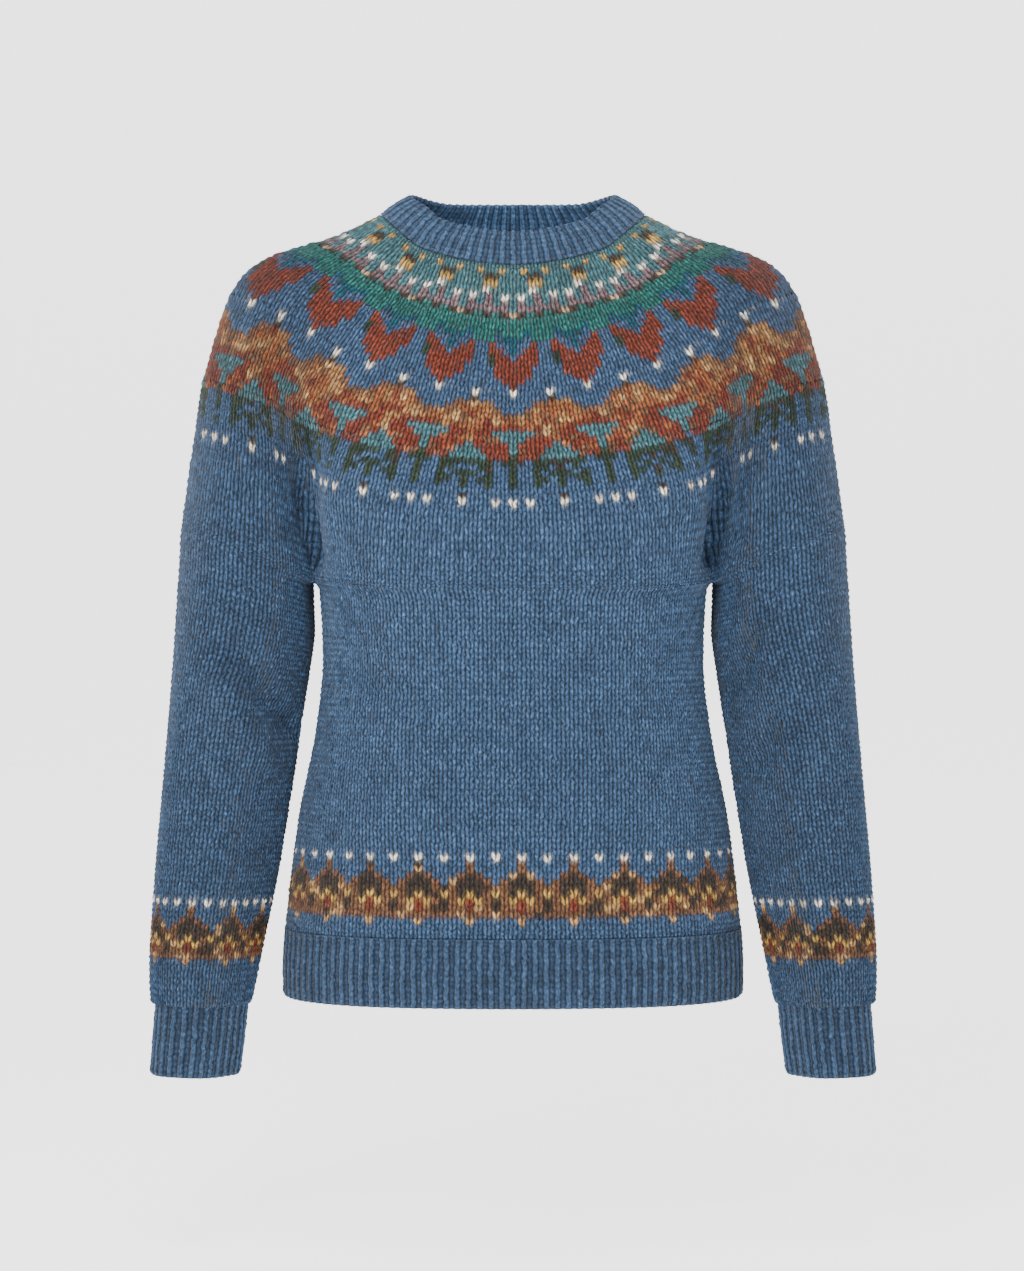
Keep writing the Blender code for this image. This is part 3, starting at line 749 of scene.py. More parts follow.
def add_round(bm, points, u, r, numbers, layer):
    """Adds a round of faces through points[row][column]. Returns its first and last edge loops."""
    rows, columns = points.shape[:2]
    made = bmesh.ops.create_grid(bm, x_segments=columns, y_segments=rows - 1, size=1)["verts"]
    closed = np.concatenate([points, points[:, :1]], axis=1).reshape(-1, 3)
    place = np.concatenate([u, u[:1]])
    for index, vertex in enumerate(made):
        row, column = divmod(index, columns + 1)
        vertex.co = closed[index]
        vertex[layer] = (place[column], r[row], numbers[row])
    first, last = made[: columns + 1], made[-columns - 1 :]
    ends = [vertex for index, vertex in enumerate(made) if index % (columns + 1) in (0, columns)]
    bmesh.ops.remove_doubles(bm, verts=ends, dist=WELD)
    loops = []
    for edge_row in (first, last):
        inside = {vertex for vertex in edge_row if vertex.is_valid}
        edges = [edge for vertex in edge_row if vertex.is_valid for edge in vertex.link_edges]
        loops.append([edge for edge in dict.fromkeys(edges) if inside.issuperset(edge.verts)])
    return loops


print("each line of a grid has", len(PLAIN), "points a stitch, or", len(RIB), "points a rib")

# %% [markdown]
# Each stitch gets the yarn of its letter in the chart, a little lighter or darker from one stitch to
# the next. Its colour is stored on the corners of its faces, with its place in the knitting, and the
# material reads both. An image would do too, but it would blur at the edges of the stitches.

# %% The yarn of each stitch
STITCH_TONES = (0.88, 1.12)


def letters_of(zone, row):
    """The chart's letters in a row: plain blue where there is no chart."""
    return zone.chart[row] if zone.chart and row < len(zone.chart) else "b"


def charted(zone, row, column, rng):
    """The yarn of each stitch in the lists of rows and columns."""
    tone = rng.uniform(*STITCH_TONES, (zone.rows, zone.stitches))
    table = np.zeros((zone.rows, zone.stitches, 3))
    for i in range(zone.rows):
        letters = letters_of(zone, i)
        for j in range(zone.stitches):
            letter = letters[j % len(letters)]
            table[i, j] = YARNS[str(rng.choice(list(MOTTLED[letter]))) if letter in MOTTLED else letter]
    return (table * tone[..., None])[row, column]


print("mottled yarns:", ", ".join(MOTTLED))

# %% Colour on the mesh
# Each piece's painted light and shade, where it isn't 1: painted shade on the ribbed hem and cuffs, for the
# shade in their furrows, and a little painted light on the neckband.
# Little light gets inside the neckband, so its inner side is painted paler: painted light where shade falls
PIECE_PAINTED_LIGHT_AND_SHADE = {"hem_knit": 0.75, "cuff_right_knit": 0.9, "cuff_left_knit": 0.9, "neckband_knit": 1.03}
INSIDE_PAINTED_LIGHT = {"neckband_knit": 1.75}
# From here to there, out from the middle, the wool is painted darker: painted shade on the sides and sleeves,
# which turn away from the lamps
SIDES_FROM, SIDES_TO, SIDES_PAINTED_SHADE = 0.115, 0.175, 0.77
# How far loose hairs carry each colour over its neighbours
BLEED = 0.45
# Faces between two zones are drawn as the very start of a row, so they get a pinch's painted shade
BRIDGE_ROW = 0.06
CHART_SEED = 7


def sides_shade(mesh):
    """The painted shade at each point: full tone in the middle, painted darker out on the sleeves."""
    places = np.zeros(len(mesh.vertices) * 3)
    mesh.vertices.foreach_get("co", places)
    outwards = np.clip((np.abs(places[0::3]) - SIDES_FROM) / (SIDES_TO - SIDES_FROM), 0, 1)
    return mix(1.0, SIDES_PAINTED_SHADE, outwards * outwards * (3 - 2 * outwards))


def colour_stitches(mesh, zones, tone, inside_painted_light):
    """Stores on each face corner its stitch place and its yarn, with painted shade out at the sides and each
    piece's painted light and shade.
    """
    # Painted shade out at the sides, times each piece's painted light and shade
    painted_shade = tone * sides_shade(mesh)
    place = np.zeros(len(mesh.vertices) * 3)
    mesh.attributes["place"].data.foreach_get("vector", place)
    place = place.reshape(-1, 3)
    corner_vertex = np.zeros(len(mesh.loops), int)
    mesh.loops.foreach_get("vertex_index", corner_vertex)
    starts = np.zeros(len(mesh.polygons), int)
    mesh.polygons.foreach_get("loop_start", starts)
    counts = np.zeros(len(mesh.polygons), int)
    mesh.polygons.foreach_get("loop_total", counts)
    face_of = np.repeat(np.arange(len(counts)), counts)
    corner = place[corner_vertex]
    # The inner wall's zone number is -1, and so it finds the last entry here
    stitches = np.array([zone.stitches for zone in zones] + [zones[-1].stitches])
    zone_of = np.maximum.reduceat(corner[:, 2], starts).astype(int)
    wide = stitches[zone_of][face_of]
    # Where the round closes, a face's last corners belong to the stitch past the last
    highest = np.maximum.reduceat(corner[:, 0], starts)[face_of]
    u = corner[:, 0] + np.where((highest - corner[:, 0] > wide / 2), wide, 0)
    r = corner[:, 1]
    bridge = np.minimum.reduceat(corner[:, 2], starts) != np.maximum.reduceat(corner[:, 2], starts)
    r = np.where(bridge[face_of], BRIDGE_ROW, r)
    middle_u = np.add.reduceat(u, starts) / counts
    middle_r = np.add.reduceat(r, starts) / counts
    colours = np.ones((len(counts), 4))
    rng = np.random.default_rng(CHART_SEED)
    for number, zone in enumerate(zones):
        here = zone_of == number
        row = np.clip(middle_r[here].astype(int), 0, zone.rows - 1)
        column = np.mod(middle_u[here].astype(int), zone.stitches)
        colours[here, :3] = charted(zone, row, column, rng)
    inside = zone_of < 0
    firsts = [letters_of(zone, i)[0] for zone in zones for i in range(zone.rows)]
    lined = np.array([YARNS.get(letter, YARNS["b"]) for letter in firsts])
    inner_row = np.clip(middle_r[inside].astype(int), 0, len(lined) - 1)
    # The neckband's inner wall is painted paler: painted light where shade falls
    colours[inside, :3] = lined[inner_row] * inside_painted_light
    around = np.zeros((len(mesh.vertices), 4))
    np.add.at(around, corner_vertex, colours[face_of])
    around /= np.bincount(corner_vertex, minlength=len(around))[:, None]
    # The attribute holds the yarn colour with the painted shade in it
    yarn_and_painted_shade = mesh.attributes.new("yarn_and_painted_shade", "FLOAT_COLOR", "CORNER")
    shown = mix(colours[face_of], around[corner_vertex], BLEED)
    # The painted shade goes into the yarn colours here
    shown[:, :3] *= painted_shade[corner_vertex][:, None]
    yarn_and_painted_shade.data.foreach_set("color", shown.ravel())
    stitch = mesh.attributes.new("stitch", "FLOAT_VECTOR", "CORNER")
    values = np.stack([u, r, np.zeros(len(u))], axis=1)
    stitch.data.foreach_set("vector", values.ravel())
    mesh.attributes.remove(mesh.attributes["place"])


print("tones:", PIECE_PAINTED_LIGHT_AND_SHADE, "and out on the sleeves", SIDES_PAINTED_SHADE)

# %% From rounds to a closed shell
# Edges sharper than this many degrees, at the rims, are shaded as edges
RIM_ANGLE = 72


def knit_tube(name, tube, zones, along_of, at_of, material, sign=1, inside=PLAIN_INSIDE, every=10,
              meets=None, wall=WALL):
    """A closed shell of knitting. every says how many half rows lie between two lines inside."""
    bm = bmesh.new()
    layer = bm.verts.layers.float_vector.new("place")
    rims = []
    for number, zone in enumerate(zones[:-1]):
        points, u, steps = knit_points(tube, zone, along_of, at_of, sign, meets)
        rims.append(add_round(bm, points, u, steps, [number] * len(steps), layer))
    last = zones[-1]
    outer, u, steps = knit_points(tube, last, along_of, at_of, sign, meets)
    first, rows = zones[0].first, last.first + last.rows - zones[0].first
    lining = Zone(first, rows, last.stitches, last.shift, None, inside, ("tuck", "roll"))
    inner, _, inner_steps = knit_points(tube, lining, along_of, at_of, sign, None, wall)
    kept = sorted({*range(0, len(inner_steps), every), len(inner_steps) - 1}, reverse=True)
    points = np.concatenate([outer, inner[kept]])
    places = [*steps, *inner_steps[kept]]
    numbers = [len(zones) - 1] * len(steps) + [-1] * len(kept)
    if len(zones) == 1:
        points = np.concatenate([points, outer[:1]])
        places, numbers = [*places, 0.0], [*numbers, 0]
        add_round(bm, points, u, places, numbers, layer)
        rim = [vertex for edge in bm.edges if edge.is_boundary for vertex in edge.verts]
        bmesh.ops.remove_doubles(bm, verts=list(dict.fromkeys(rim)), dist=WELD)
    else:
        rims.append(add_round(bm, points, u, places, numbers, layer))
        for above, below in zip(rims, rims[1:]):
            bmesh.ops.bridge_loops(bm, edges=above[1] + below[0])
        bmesh.ops.bridge_loops(bm, edges=rims[0][0] + rims[-1][1])
    if sign < 0:
        bmesh.ops.scale(bm, vec=(-1, 1, 1), verts=bm.verts[:])
    bmesh.ops.recalc_face_normals(bm, faces=bm.faces[:])
    bmesh.ops.translate(bm, verts=bm.verts[:], vec=(0, 0, -SHOULDERS_UP))
    open_edges = sum(not edge.is_manifold for edge in bm.edges)
    volume = bm.calc_volume(signed=True)
    mesh = bpy.data.meshes.new(name)
    bm.to_mesh(mesh)
    bm.free()
    # The piece's painted light and shade go into its colours
    colour_stitches(mesh, zones, PIECE_PAINTED_LIGHT_AND_SHADE.get(name, 1.0), INSIDE_PAINTED_LIGHT.get(name, 1.0))
    mesh.shade_smooth()
    mesh.set_sharp_from_angle(angle=math.radians(RIM_ANGLE))
    mesh.materials.append(material)
    piece = bpy.data.objects.new(name, mesh)
    bpy.context.scene.collection.objects.link(piece)
    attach(piece, "root")
    triangles = sum(len(polygon.vertices) - 2 for polygon in mesh.polygons)
    print(f"{name}: {triangles} triangles, {open_edges} open edges, {volume * 1e6:.0f} ml of wool")
    return piece

# %% [markdown]
# ## The wool
#
# The yarn is unspun and heathered: each strand shows lighter and darker fibres that run along it.
# The material takes the yarn's colour from the mesh, streaks it with noise stretched along the
# strands, paints shade into the gaps between them and a highlight on their tops, and adds a bump of fine
# fibres and a soft sheen.

# %% The wool material
CLOTH = {"Roughness": 0.92, "Specular IOR Level": 0.25, "Sheen Weight": 0.10, "Sheen Roughness": 0.45}
# Lower is fuller: how round a strand is across and along
STRAND_ROUNDNESS, LENGTH_ROUNDNESS = 0.7, 0.6
# How full a strand still is where two rows meet: less full gives more painted shade there, and a lower bump
PLAIN_PINCH, RIB_PINCH = 0.45, 0.60
# How much fibres and tufts show. A rib's strands are drawn tight, so there they show less
PLAIN_LOOSE, RIB_LOOSE = 0.75, 0.5
# Fullness from gap to top, and the painted shade in the gaps and painted highlight at the top of a strand
GAP, TOP = 0.10, 0.85
PLAIN_GAP_PAINTED_SHADE, RIB_GAP_PAINTED_SHADE, STRAND_PAINTED_HIGHLIGHT = 0.18, 0.10, 1.40
# Most of a noise lies between these
NOISE_LOW, NOISE_HIGH = 0.30, 0.70
# Noise cells: across a stitch for fibres and hairs, a row for the fibres, and a metre for the rest
FIBRES_ACROSS, HAIRS_ACROSS, FIBRES_ALONG, HAIRS_TO_FIBRES = 8.0, 23.0, 1.6, 1.7
TUFTS, PATCHES = 520.0, 45.0
# How far the fibres lean across a strand, in noise cells
LEAN = 0.5
# How much lighter or darker: each strand, patches, and tufts as a share of the fibres' change
EACH_STRAND, PATCH_CHANGE, TUFT_SHARE = 0.22, 0.10, 0.7
# Where the hairs' noise passes from none to the most that they cover
HAIRS_FROM, HAIRS_FULL, HAIRS_COVER = 0.58, 0.80, 0.50
FIBRE_BUMP, BUMP_STRENGTH, BUMP_DISTANCE = 0.5, 0.7, 0.0014
PALE_HAIR = (0.26, 0.28, 0.30, 1)
# Across half a rib, from the middle of its furrow to the middle of its ridge: how full the strand is
RIB_STRANDS = ((0.0, 0.46), (0.22, 0.34), (0.48, 0.08), (0.72, 0.85), (0.86, 1.0), (1.0, 0.62))


def link(tree, *pairs):
    for source, target in pairs:
        tree.links.new(source, target)


def node(tree, kind, **settings):
    """Adds a node of this kind, with these settings."""
    made = tree.nodes.new(kind)
    for key, value in settings.items():
        setattr(made, key, value)
    return made


def wool(name, ribbed=False):
    """Knitted wool that reads its yarn and its stitch place from the mesh. A rib is one round strand."""
    material = bpy.data.materials.new(name)
    material.use_nodes = True
    tree = material.node_tree
    tree.nodes.clear()
    output = node(tree, "ShaderNodeOutputMaterial")
    shader = node(tree, "ShaderNodeBsdfPrincipled")
    for socket, value in CLOTH.items():
        shader.inputs[socket].default_value = value
    # The yarn colour from the mesh, with the painted shade of the sides and pieces in it
    yarn_and_painted_shade = node(tree, "ShaderNodeAttribute", attribute_name="yarn_and_painted_shade")
    stitch = node(tree, "ShaderNodeAttribute", attribute_name="stitch")
    parts = node(tree, "ShaderNodeSeparateXYZ")
    link(tree, (stitch.outputs["Vector"], parts.inputs[0]))

    def maths(operation, a, b=None):
        made = node(tree, "ShaderNodeMath", operation=operation)
        for socket, value in zip(made.inputs, (a, b)):
            if value is None:
                continue
            if isinstance(value, (int, float)):
                socket.default_value = value
            else:
                link(tree, (value, socket))
        return made.outputs[0]

    u, r = parts.outputs[0], parts.outputs[1]
    # Across a strand: 0 at the gaps, 1 at its middle
    if ribbed:
        ramp = node(tree, "ShaderNodeValToRGB")
        link(tree, (maths("MULTIPLY", maths("PINGPONG", u, 0.5), 2.0), ramp.inputs[0]))
        stops = ramp.color_ramp.elements
        stops[0].position, stops[0].color = RIB_STRANDS[0][0], (RIB_STRANDS[0][1],) * 3 + (1,)
        stops[1].position, stops[1].color = RIB_STRANDS[-1][0], (RIB_STRANDS[-1][1],) * 3 + (1,)
        for place, level in RIB_STRANDS[1:-1]:
            stops.new(place).color = (level,) * 3 + (1,)
        strand = ramp.outputs[0]
    else:
        strand = maths("MULTIPLY", maths("PINGPONG", maths("MULTIPLY", u, 2.0), 0.5), 2.0)
    # Along a strand: 0 at the pinch, 1 at its middle
    length = maths("MULTIPLY", maths("PINGPONG", r, 0.5), 2.0)
    round_across = maths("POWER", strand, STRAND_ROUNDNESS)
    round_along = maths("POWER", length, LENGTH_ROUNDNESS)
    # A rib's strands run on from row to row, so they get less painted shade where the rows meet
    at_pinch = RIB_PINCH if ribbed else PLAIN_PINCH
    along_row = maths("ADD", at_pinch, maths("MULTIPLY", round_along, 1 - at_pinch))
    body = maths("MULTIPLY", round_across, along_row)

    def spread_out(value, low, high, to_low, to_high):
        made = node(tree, "ShaderNodeMapRange")
        levels = {"From Min": low, "From Max": high, "To Min": to_low, "To Max": to_high}
        for socket, level in levels.items():
            made.inputs[socket].default_value = level
        link(tree, (value, made.inputs["Value"]))
        return made.outputs[0]

    def noise(place, scale, detail):
        made = node(tree, "ShaderNodeTexNoise")
        made.inputs["Scale"].default_value = scale
        made.inputs["Detail"].default_value = detail
        made.inputs["Roughness"].default_value = 0.65
        link(tree, (place, made.inputs["Vector"]))
        return made.outputs["Fac"]

    def at_place(x, y):
        made = node(tree, "ShaderNodeCombineXYZ")
        link(tree, (x, made.inputs[0]), (y, made.inputs[1]))
        return made.outputs[0]

    # Fibres: noise stretched along the strands
    lean = maths("ADD", maths("MULTIPLY", r, FIBRES_ALONG), maths("MULTIPLY", strand, LEAN))
    fibres = noise(at_place(maths("MULTIPLY", u, FIBRES_ACROSS), lean), 1.0, 4.0)
    hair_lean = maths("MULTIPLY", lean, HAIRS_TO_FIBRES)
    hairs = noise(at_place(maths("MULTIPLY", u, HAIRS_ACROSS), hair_lean), 1.0, 3.0)
    # Each strand is a little lighter or darker than the next
    each = node(tree, "ShaderNodeTexWhiteNoise", noise_dimensions="2D")
    which = maths("FLOOR", maths("MULTIPLY", u, 2.0))
    link(tree, (at_place(which, maths("FLOOR", r)), each.inputs["Vector"]))
    # Patches of denser and thinner wool, in the cloth's own space
    place = node(tree, "ShaderNodeTexCoord").outputs["Object"]
    tufts, patches = noise(place, TUFTS, 3.0), noise(place, PATCHES, 2.0)

    # Painted shade down in the gaps and at the pinches, and a painted highlight on the strands' tops
    tone = spread_out(body, GAP, TOP, RIB_GAP_PAINTED_SHADE if ribbed else PLAIN_GAP_PAINTED_SHADE, STRAND_PAINTED_HIGHLIGHT)
    loose = RIB_LOOSE if ribbed else PLAIN_LOOSE
    for part in (
        spread_out(fibres, NOISE_LOW, NOISE_HIGH, 1 - loose, 1 + loose),
        spread_out(each.outputs["Value"], 0.0, 1.0, 1 - EACH_STRAND, 1 + EACH_STRAND),
        spread_out(tufts, NOISE_LOW, NOISE_HIGH, 1 - loose * TUFT_SHARE, 1 + loose * TUFT_SHARE),
        spread_out(patches, NOISE_LOW, NOISE_HIGH, 1 - PATCH_CHANGE, 1 + PATCH_CHANGE),
    ):
        tone = maths("MULTIPLY", tone, part)

    colour = node(tree, "ShaderNodeVectorMath", operation="SCALE")
    link(tree, (yarn_and_painted_shade.outputs["Color"], colour.inputs[0]), (tone, colour.inputs["Scale"]))
    # Pale loose hairs lie over every colour, and not down in the gaps
    pale = node(tree, "ShaderNodeMix", data_type="RGBA")
    pale.inputs[7].default_value = PALE_HAIR
    share = maths("MULTIPLY", spread_out(hairs, HAIRS_FROM, HAIRS_FULL, 0.0, HAIRS_COVER), body)
    link(tree, (share, pale.inputs[0]), (colour.outputs[0], pale.inputs[6]))
    link(tree, (pale.outputs[2], shader.inputs["Base Color"]))

    bump = node(tree, "ShaderNodeBump")
    bump.inputs["Strength"].default_value = BUMP_STRENGTH
    bump.inputs["Distance"].default_value = BUMP_DISTANCE
    height = maths("ADD", body, maths("MULTIPLY", maths("ADD", fibres, hairs), FIBRE_BUMP))
    link(tree, (height, bump.inputs["Height"]), (bump.outputs[0], shader.inputs["Normal"]))
    link(tree, (shader.outputs[0], output.inputs[0]))
    return material


blue_wool = wool("blue_knitting")
rib_wool = wool("blue_ribbing", ribbed=True)
yoke_wool = wool("yoke_knitting")
print("materials:", blue_wool.name, rib_wool.name, yoke_wool.name)

# %% [markdown]
# ## The yoke
#
# Six zones, from the neck down. The stitches in a repeat grow from six to twelve on the way, so
# each zone is a grid of its own, which laps over the edge of the one above it. One grid with a
# single count would be simpler, but then a ring's motif couldn't have its own number of stitches.

# %% The yoke
YOKE_ROWS = 56
# Rows, and how far down the cloth each of them lies
ROW_MARKS = (0, 6, 14, 22, 29, 34, 41, YOKE_ROWS)
ALONG_MARKS = (0.0, 0.0289, 0.0663, 0.1025, 0.1326, 0.1540, 0.1836, UNDERARM_ALONG)
ROW_HEIGHT = 0.0044
TREES_ROW = 33


def yoke_along(rows):
    """How far down the cloth a row lies. Past the ends the rows run on."""
    rows = np.asarray(rows, float)
    inside = weights(ROW_MARKS, np.clip(rows, 0, YOKE_ROWS)) @ np.array(ALONG_MARKS)
    return inside + (np.minimum(rows, 0) + np.maximum(rows - YOKE_ROWS, 0)) * ROW_HEIGHT


YOKE_ZONES = []
for first, chart, shift in ((0, DOTS, 0.5), (6, RING, 0), (10, SEA, 0), (14, HEARTS, 0), (22, PEAKS, 0)):
    edges = ("lap" if first else "tuck", "tuck")
    YOKE_ZONES.append(Zone(first, len(chart), REPEATS * len(chart[0]), shift, chart, PLAIN, edges))
trees_rows, trees_stitches = YOKE_ROWS - TREES_ROW, REPEATS * len(TREES[0])
YOKE_ZONES.append(Zone(TREES_ROW, trees_rows, trees_stitches, 0, TREES, PLAIN, ("lap", "run on")))
YOKE_CREASES = (CREASE, BACK_CREASE, REPEATS - BACK_CREASE, REPEATS - CREASE)


def yoke_places(u, stitches):
    return u * REPEATS / stitches


def yoke_meets(at):
    return near_crease(np.mod(at, REPEATS), YOKE_CREASES)


print("the yoke's zones:", [(zone.first, zone.rows, zone.stitches) for zone in YOKE_ZONES])
yoke = knit_tube("yoke_knit", "yoke", YOKE_ZONES, yoke_along, yoke_places, yoke_wool, meets=yoke_meets)
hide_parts("yoke")

# %% [markdown]
# ## The body
#
# Twelve stitches to a repeat, as at the foot of the yoke, plus twelve cast on under each arm. Near
# the hem a band of brown and rust peaks is worked in.

# %% The body
BODY_ROWS = 59
BODY_STITCHES = 144
UNDERARM_STITCHES = 12
FRONT_STITCHES = 60
BODY_BAND_ROW = 45


def body_along(rows):
    length = BODY_LEVELS[-1].along - UNDERARM_ALONG
    return UNDERARM_ALONG + np.asarray(rows, float) * length / BODY_ROWS


def body_places(u, stitches):
    """From stitches to repeats round the body: the stitches under the arms are the closest together."""
    half, under = FRONT_STITCHES / 2, UNDERARM_STITCHES
    marks = np.cumsum([-half, 2 * half, under, 2 * half, under, 2 * half])
    ats = np.cumsum([-CREASE, 2 * CREASE, UNDERARM, 2 * CREASE, UNDERARM, 2 * CREASE])
    return np.interp(u, marks, ats)


BODY_CREASES = (CREASE, CREASE + UNDERARM, 3 * CREASE + UNDERARM, 3 * CREASE + 2 * UNDERARM)


def body_meets(at):
    at = np.mod(at, CAGES["body"]["period"])
    under = np.zeros(len(at), bool)
    for first in (BODY_CREASES[0], BODY_CREASES[2]):
        under |= (at > first) & (at < first + UNDERARM)
    return np.where(under, 0, near_crease(at, BODY_CREASES))


plain_rows = ("b",) * BODY_BAND_ROW
body_zones = [Zone(0, BODY_ROWS, BODY_STITCHES, 0, plain_rows + WAVE, PLAIN, ("run on", "tuck"))]
body = knit_tube("body_knit", "body", body_zones, body_along, body_places, blue_wool, every=6,
                 meets=body_meets)
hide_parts("body")

# %% [markdown]
# ## The sleeves
#
# Fifty-four stitches each: forty-eight from the yoke and six under the arm. The left one is made
# from the same tables and mirrored, but its folds are its own.

# %% The sleeves
SLEEVE_ROWS = 79
SLEEVE_STITCHES = 54
OVER_ARM = 48
SLEEVE_BAND_ROW = 61


def sleeve_along(rows):
    length = SLEEVE_LEVELS[-1].along - UNDERARM_ALONG
    return UNDERARM_ALONG + np.asarray(rows, float) * length / SLEEVE_ROWS


def sleeve_places(u, stitches):
    under = SLEEVE_STITCHES - OVER_ARM
    marks = np.cumsum([-under, under, OVER_ARM, under])
    ats = np.cumsum([CREASE - UNDERARM, UNDERARM, BACK_CREASE - CREASE, UNDERARM])
    return np.interp(u, marks, ats)


def sleeve_meets(at):
    at = np.mod(at - CREASE, CAGES["sleeve"]["period"]) + CREASE
    return np.where(at > BACK_CREASE, 0, near_crease(at, (CREASE, BACK_CREASE)))


sleeve_chart = ("b",) * SLEEVE_BAND_ROW + SLEEVE_WAVE
sleeve_zones = [Zone(0, SLEEVE_ROWS, SLEEVE_STITCHES, 0, sleeve_chart, PLAIN, ("run on", "tuck"))]
sleeves = {}
for side, sign in (("right", 1), ("left", -1)):
    sleeves[side] = knit_tube("sleeve_" + side + "_knit", "sleeve", sleeve_zones, sleeve_along,
                              sleeve_places, blue_wool, sign, every=4, meets=sleeve_meets)
    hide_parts("sleeve_" + side)

# %% [markdown]
# ## The ribbed bands
#
# One knit stitch, one purl stitch, all round: the knit column stands forward as a ridge, and the
# purl column lies back between ridges. Inside, ridges and furrows change places.

# %% The hem, the cuffs and the neckband
HEM_RIBS, CUFF_RIBS, NECK_RIBS = 110, 31, 64
HEM_ROWS, CUFF_ROWS, NECK_ROWS = 13, 13, 8
BAND_EDGES = ("lap", "roll")
NECK_WALL = 0.0042


def between(levels, rows_in_all):
    first, last = levels[0].along, levels[-1].along
    return lambda rows: first + np.asarray(rows, float) * (last - first) / rows_in_all


def spread(length, start=0.0):
    return lambda u, stitches: start + u * length / stitches


def rib_zone(rows, ribs):
    return [Zone(0, rows, ribs, 0, None, RIB, BAND_EDGES)]


hem = knit_tube("hem_knit", "hem", rib_zone(HEM_ROWS, HEM_RIBS), between(HEM_LEVELS, HEM_ROWS),
                spread(CAGES["hem"]["period"]), rib_wool, inside=RIB_INSIDE, every=2)
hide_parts("hem_rib")
cuffs = {}
for side, sign in (("right", 1), ("left", -1)):
    cuffs[side] = knit_tube("cuff_" + side + "_knit", "cuff", rib_zone(CUFF_ROWS, CUFF_RIBS),
                            between(CUFF_LEVELS, CUFF_ROWS), spread(CAGES["cuff"]["period"], CREASE),
                            rib_wool, sign, inside=RIB_INSIDE, every=2)
    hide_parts("cuff_" + side)
neckband = knit_tube("neckband_knit", "neck", rib_zone(NECK_ROWS, NECK_RIBS),
                     between(NECK_LEVELS, NECK_ROWS), spread(REPEATS), rib_wool,
                     inside=RIB_INSIDE, every=1, wall=NECK_WALL)
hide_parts("neckband")

# %% [markdown]
# ## Each piece's flat size
#
# Every piece is cloth, so each one's flat size is printed: a tube cut open and laid flat is as wide as
# its widest round and as long as its run. Tubes that narrow fill less than that, so each piece's
# area is printed as well.

# %% Flat sizes
ROUND_SAMPLES, LINE_SAMPLES, LEVEL_SAMPLES = 720, 24, 13


def girth(tube, along, length):
    """The length once round the cloth at a level."""
    at = np.linspace(0, length, ROUND_SAMPLES + 1)[:-1]
    ring = smooth_form(tube, [along], at)[0]
    return float(np.linalg.norm(ring - np.roll(ring, 1, axis=0), axis=1).sum())


def flat_size(tube, levels):
    """The widest round, the length and the area of a tube cut open and laid flat."""
    length = CAGES[tube]["period"]
    alongs = np.linspace(levels[0], levels[-1], LEVEL_SAMPLES)
    rounds = [girth(tube, along, length) for along in alongs]
    at = np.linspace(0, length, LINE_SAMPLES + 1)[:-1]
    lines = smooth_form(tube, alongs, at)
    long = float(np.linalg.norm(np.diff(lines, axis=0), axis=2).sum(axis=0).mean())
    return max(rounds), long, float(np.mean(rounds)) * long


SHEETS = {
    "yoke": (yoke, (0.0, UNDERARM_ALONG)),
    "body": (body, (UNDERARM_ALONG, BODY_LEVELS[-1].along)),
    "hem": (hem, (HEM_LEVELS[0].along, HEM_LEVELS[-1].along)),
    "neck": (neckband, (NECK_LEVELS[0].along, NECK_LEVELS[-1].along)),
}
for tube, (piece, levels) in SHEETS.items():
    wide, long, area = flat_size(tube, levels)
    print(f"{piece.name}: {wide:.3f} x {long:.3f} m, {area:.4f} m2")
for pieces, tube, levels in ((sleeves, "sleeve", SLEEVE_LEVELS), (cuffs, "cuff", CUFF_LEVELS)):
    wide, long, area = flat_size(tube, (levels[0].along, levels[-1].along))
    print(f"{tube}s: {wide:.3f} x {long:.3f} m, {area:.4f} m2")

# %% [markdown]
# ## The room
#
# A pale paper sweep stands behind and under the garment, clear of it. It glows, so that it shows
# pale and even without a lamp of its own. Large soft lamps light the cloth from the front and from
# above. The camera stands as far off as the picture's perspective asks.

# %% The sweep
FLOOR_UP = -0.78
SWEEP_NEAR, SWEEP_FAR, SWEEP_RADIUS, SWEEP_TOP, SWEEP_HALF = -6.0, 6.0, 2.5, 6.0, 8.0
SWEEP_STEPS = 16
profile = [(SWEEP_NEAR, FLOOR_UP)]
for i in range(SWEEP_STEPS + 1):
    turn = math.pi / 2 * i / SWEEP_STEPS
    out = SWEEP_FAR - SWEEP_RADIUS + SWEEP_RADIUS * math.sin(turn)
    profile.append((out, FLOOR_UP + SWEEP_RADIUS * (1 - math.cos(turn))))
profile.append((SWEEP_FAR, SWEEP_TOP))
bm = bmesh.new()
made = bmesh.ops.create_grid(bm, x_segments=1, y_segments=len(profile) - 1, size=1)
for index, vertex in enumerate(made["verts"]):
    out, up = profile[index // 2]
    vertex.co = (-SWEEP_HALF if index % 2 == 0 else SWEEP_HALF, out, up)
sweep_mesh = bpy.data.meshes.new("sweep")
bm.to_mesh(sweep_mesh)
bm.free()
sweep_mesh.shade_smooth()
paper = bpy.data.materials.new("paper")
paper.use_nodes = True
paper_shader = paper.node_tree.nodes["Principled BSDF"]
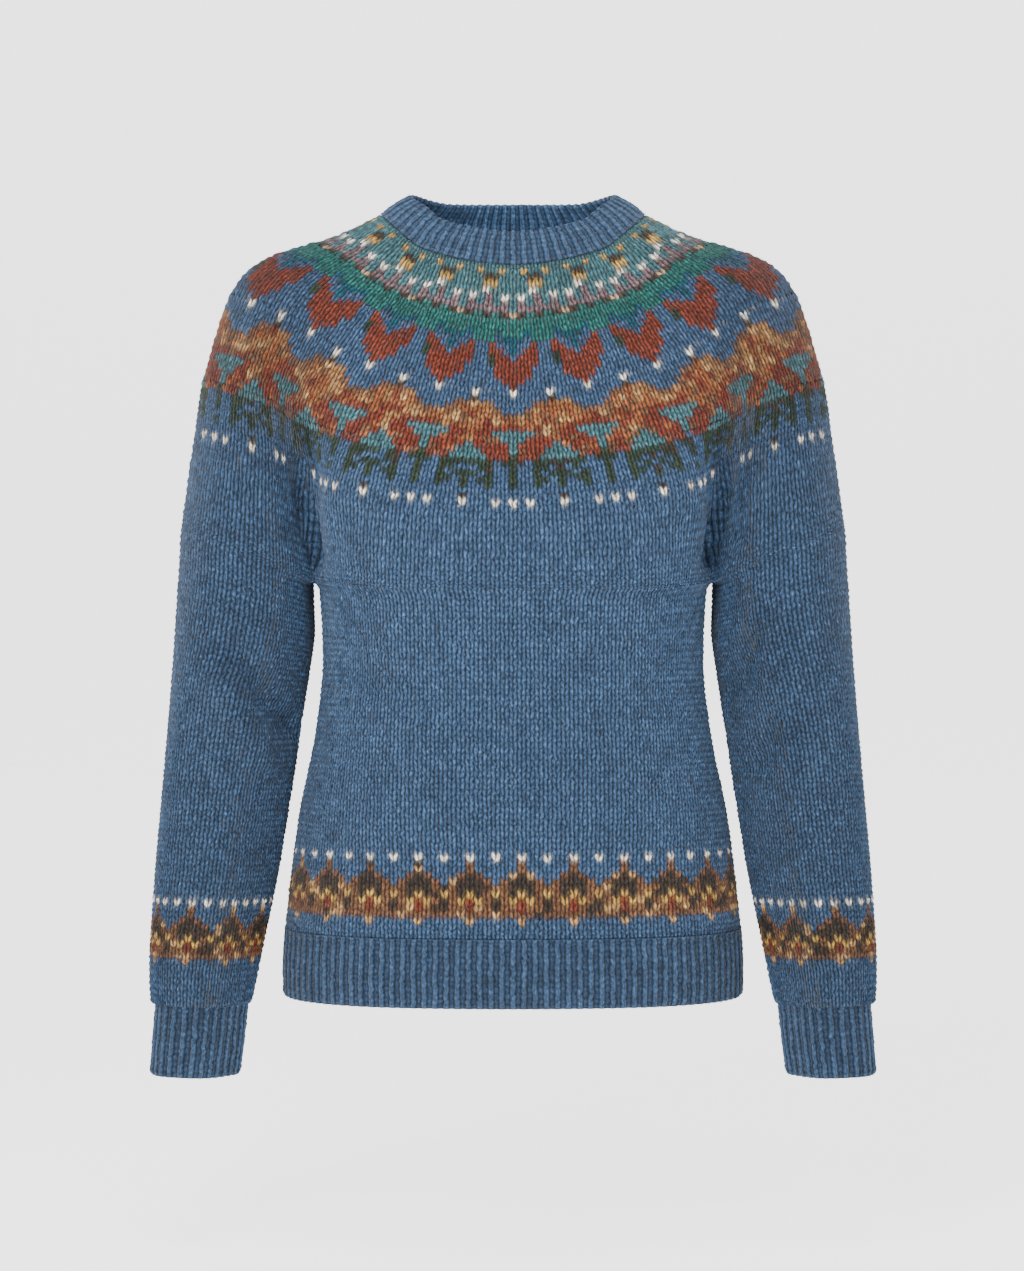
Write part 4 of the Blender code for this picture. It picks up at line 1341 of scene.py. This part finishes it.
for socket, value in {
    "Base Color": (0.80, 0.80, 0.81, 1),
    "Roughness": 0.9,
    "Specular IOR Level": 0.0,
    "Emission Color": (1.0, 1.0, 1.008, 1),
    "Emission Strength": 2.05,
}.items():
    paper_shader.inputs[socket].default_value = value
sweep_mesh.materials.append(paper)
sweep = bpy.data.objects.new("sweep", sweep_mesh)
bpy.context.scene.collection.objects.link(sweep)
print("sweep:", len(sweep_mesh.polygons), "strips")

# %% The lamps
Lamp = namedtuple("Lamp", "name place aim size power")
LAMPS = (
    Lamp("key", (-0.7, -2.0, 0.75), (0, 0, -0.28), 1.0, 58),
    Lamp("fill", (1.3, -2.4, 0.2), (0, 0, -0.35), 1.5, 20),
    Lamp("top", (0.0, -0.3, 2.2), (0, 0, -0.2), 1.6, 34),
)
for lamp in LAMPS:
    data = bpy.data.lights.new(lamp.name, "AREA")
    data.shape = "SQUARE"
    data.size = lamp.size
    data.energy = lamp.power
    made = bpy.data.objects.new(lamp.name, data)
    made.location = lamp.place
    direction = Vector(lamp.aim) - Vector(lamp.place)
    made.rotation_euler = direction.to_track_quat("-Z", "Y").to_euler()
    bpy.context.scene.collection.objects.link(made)
world = bpy.data.worlds.new("room")
world.use_nodes = True
sky = world.node_tree.nodes["Background"]
sky.inputs["Color"].default_value = (0.90, 0.90, 0.91, 1)
sky.inputs["Strength"].default_value = 0.40
bpy.context.scene.world = world
print("lamps:", ", ".join(f"{lamp.name} {lamp.power} W" for lamp in LAMPS))

# %% The camera
CAMERA_PLACE, CAMERA_LENS = (-0.0008, -2.5, -0.3157), 90.8
camera_data = bpy.data.cameras.new("camera")
camera_data.lens = CAMERA_LENS
camera_data.sensor_width = 36
camera_data.dof.use_dof = False
camera = bpy.data.objects.new("camera", camera_data)
camera.location = CAMERA_PLACE
camera.rotation_euler = (math.radians(90), 0, 0)
bpy.context.scene.collection.objects.link(camera)
bpy.context.scene.camera = camera
print("camera", tuple(round(x, 3) for x in camera.location), "lens", camera_data.lens)

# %% The end
bpy.context.view_layer.update()
